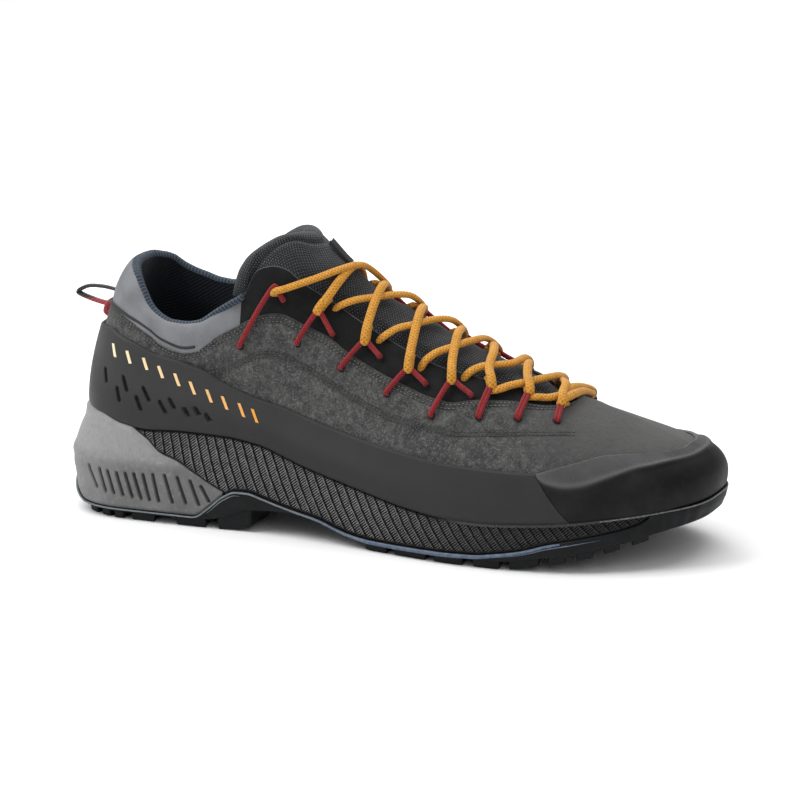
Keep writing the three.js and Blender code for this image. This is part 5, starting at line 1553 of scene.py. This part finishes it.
def addPull():
    shift = np.array((0, pull["aside"], 0))
    high, low = surface(-1e-9, pull["high"], 0.6) + shift, surface(-1e-9, pull["low"], 2.6) + shift
    points = [high + (out, 0, up) for out, up in ((2.5, 0), (0, 0), (-7, 1.0), (-15, 0.6), (-19.6, -2.2))]
    points += [np.array((high[0] + out, high[1], low[2] + up)) for out, up in ((-16.5, 2.6), (-9, 0.6))]
    points += [low, low + (2.0, 0, 0)]
    piece = tube("pull_cord", spline(points, 130), pull["cordWidth"], 14, pull["cordHeight"], relief=pullTwist)
    finishPiece(piece, finishes["pull"], ["pull_loop"])
    rows = np.linspace(-1, 1, 24)[:, None]
    columns = np.linspace(-1, 1, 30)[None, :]
    y = pull["aside"] + columns * pull["half"]
    base = surface(-1e-9, pull["low"] + rows * pull["sleeveShare"], 0.3)
    # the heel's wall falls back to both sides, and the sleeve follows it
    back = base[..., 0] + pull["fallBack"] * y ** 2
    out = pull["thick"] * np.sqrt((1 - np.abs(rows) ** 3) * (1 - np.abs(columns) ** 6).clip(0))
    outer, inner = (np.stack([x, y + 0 * rows, base[..., 2] + 0 * y], -1) for x in (back - out, back + 0.8))
    finishPiece(shell("pull_sleeve", outer, inner), finishes["loop"], ["pull_tab"])


addPull()
print("pull loop ready")


# ---- plain slanted bars on the sides of the heel: at and share of each one's middle ----
barMarks = [(.0699, .30), (.0998, .285), (.1317, .2625), (.1597, .23), (.1876, .2025), (.2136, .1775), (.2415, .155),
            (.2675, .1375), (.2954, .125), (.3174, .1175)]
barSizes = dict(halfWidth=0.7, lean=1.1, halfHeight=2.7, outer=1.9, inner=1.4)


def addBars():
    parts, tone = [], []
    for k, (at, share) in enumerate(barMarks):
        for side in (-1, 1):
            pace = 0.008 / np.linalg.norm(spot(side, at + 0.004, share) - spot(side, at - 0.004, share))
            up = 0.02 / np.linalg.norm(spot(side, at, share + 0.01) - spot(side, at, share - 0.01))
            u = np.linspace(-1, 1, 6)[:, None]
            v = np.linspace(-1, 1, 14)[None, :]
            around = side * sectionOf(at + (u * barSizes["halfWidth"] - v * barSizes["lean"]) * pace)
            shares = share + v * barSizes["halfHeight"] * up + 0 * u
            outer, inner = (surface(around, shares, barSizes[key]) for key in ("outer", "inner"))
            rows, columns = outer.shape[:2]
            start = rows * columns
            faces = gridFaces(rows, columns) + gridFaces(rows, columns, start, True)
            index = np.arange(start).reshape(rows, columns)
            ids = [*index[:, 0], *index[-1, 1:], *index[-2::-1, -1], *index[0, -2:0:-1]]
            for one, following in zip(ids, ids[1:] + ids[:1]):
                faces.append([following, one, start + one, start + following])
            points = np.concatenate([outer.reshape(-1, 3), inner.reshape(-1, 3)])
            parts.append(partOf(points, faces))
            tone.append(np.full(len(points), k / (len(barMarks) - 1)))
    finishPiece(joinParts("side_bars", parts, dict(tone=np.concatenate(tone))), finishes["bars"])


addBars()
print("bars ready")


# ---- stitches ----
def stitchTree(name, finish):
    # small flat capsules laid along a curve
    tree = bpy.data.node_groups.new(name, "GeometryNodeTree")
    tree.interface.new_socket("Geometry", in_out="INPUT", socket_type="NodeSocketGeometry")
    sockets = [tree.interface.new_socket(key, in_out="INPUT", socket_type="NodeSocketFloat")
               for key in ("Pitch", "Length", "Width")]
    tree.interface.new_socket("Geometry", in_out="OUTPUT", socket_type="NodeSocketGeometry")
    kinds = dict(given="NodeGroupInput", made="NodeGroupOutput", points="GeometryNodeCurveToPoints",
                 ball="GeometryNodeMeshUVSphere", size="ShaderNodeCombineXYZ", thin="ShaderNodeMath",
                 shape="GeometryNodeTransform", place="GeometryNodeInstanceOnPoints",
                 real="GeometryNodeRealizeInstances", shade="GeometryNodeSetShadeSmooth",
                 paint="GeometryNodeSetMaterial")
    node = {key: tree.nodes.new(kind) for key, kind in kinds.items()}
    node["points"].mode = "LENGTH"
    node["thin"].operation = "MULTIPLY"
    node["thin"].inputs[1].default_value = stitchSizes["flat"]
    node["paint"].inputs["Material"].default_value = finish
    for key, value in (("Segments", 8), ("Rings", 6), ("Radius", 0.5)):
        node["ball"].inputs[key].default_value = value
    for a, output, b, into in (
            ("given", "Geometry", "points", "Curve"), ("given", "Pitch", "points", "Length"),
            ("given", "Width", "thin", 0), ("given", "Width", "size", "X"), ("thin", 0, "size", "Y"),
            ("given", "Length", "size", "Z"), ("ball", "Mesh", "shape", "Geometry"), ("size", 0, "shape", "Scale"),
            ("points", "Points", "place", "Points"), ("points", "Rotation", "place", "Rotation"),
            ("shape", 0, "place", "Instance"), ("place", 0, "real", 0), ("real", 0, "shade", "Geometry"),
            ("shade", 0, "paint", "Geometry"), ("paint", 0, "made", "Geometry")):
        tree.links.new(node[a].outputs[output], node[b].inputs[into])
    return tree, sockets


def stitchRow(name, path, finish):
    curve = bpy.data.curves.new(name, "CURVE")
    curve.dimensions = "3D"
    line = curve.splines.new("POLY")
    spots = toFrame(path)
    line.points.add(len(spots) - 1)
    line.points.foreach_set("co", np.concatenate([spots, np.ones((len(spots), 1))], 1).ravel())
    holder = bpy.data.objects.new(name + "_path", curve)
    bpy.context.collection.objects.link(holder)
    modifier = holder.modifiers.new("rows", "NODES")
    modifier.node_group, sockets = stitchTree(name, finish)
    for socket, key in zip(sockets, ("pitch", "length", "width")):
        modifier[socket.identifier] = stitchSizes[key] * 0.001
    bpy.context.view_layer.update()
    mesh = bpy.data.meshes.new_from_object(holder.evaluated_get(bpy.context.evaluated_depsgraph_get()))
    bpy.data.objects.remove(holder)
    mesh.name = name
    made = bpy.data.objects.new(name, mesh)
    bpy.context.collection.objects.link(made)
    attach(made, "root")


stitchSizes = dict(pitch=1.75, length=1.25, width=0.5, flat=0.75, edgeFront=0.815)


def addStitches():
    for side, word in ((-1, "lateral"), (1, "medial")):
        around = np.linspace(0, float(sectionOf(stitchSizes["edgeFront"])), 420) * side
        top = topCurve(suedeAt, around)
        for k, drop in enumerate(seamDrops["edge"]):
            path = surface(around, top - drop / mmPerShare(around, top), 0.12)
            stitchRow(f"edge_stitch_{word}_{k + 1}", path, finishes["thread"])
        at = np.linspace(contour[0][0], contour[-1][0], 260)
        around, share = side * sectionOf(at), contourShare(at)
        for k, drop in enumerate(seamDrops["contour"]):
            path = surface(around, share - drop / mmPerShare(around, share), 0.1)
            stitchRow(f"contour_stitch_{word}_{k + 1}", path, finishes["darkThread"])


addStitches()
print("stitches ready")


# ---- floor, camera and lights ----
def addFloor():
    mesh = bpy.data.meshes.new("floor")
    mesh.from_pydata([(-3, -3, 0), (3, -3, 0), (3, 3, 0), (-3, 3, 0)], [], [(0, 1, 2, 3)])
    floor = bpy.data.objects.new("floor", mesh)
    bpy.context.collection.objects.link(floor)
    mesh.materials.append(finishes["floor"])


addFloor()
addCamera()
addLights()
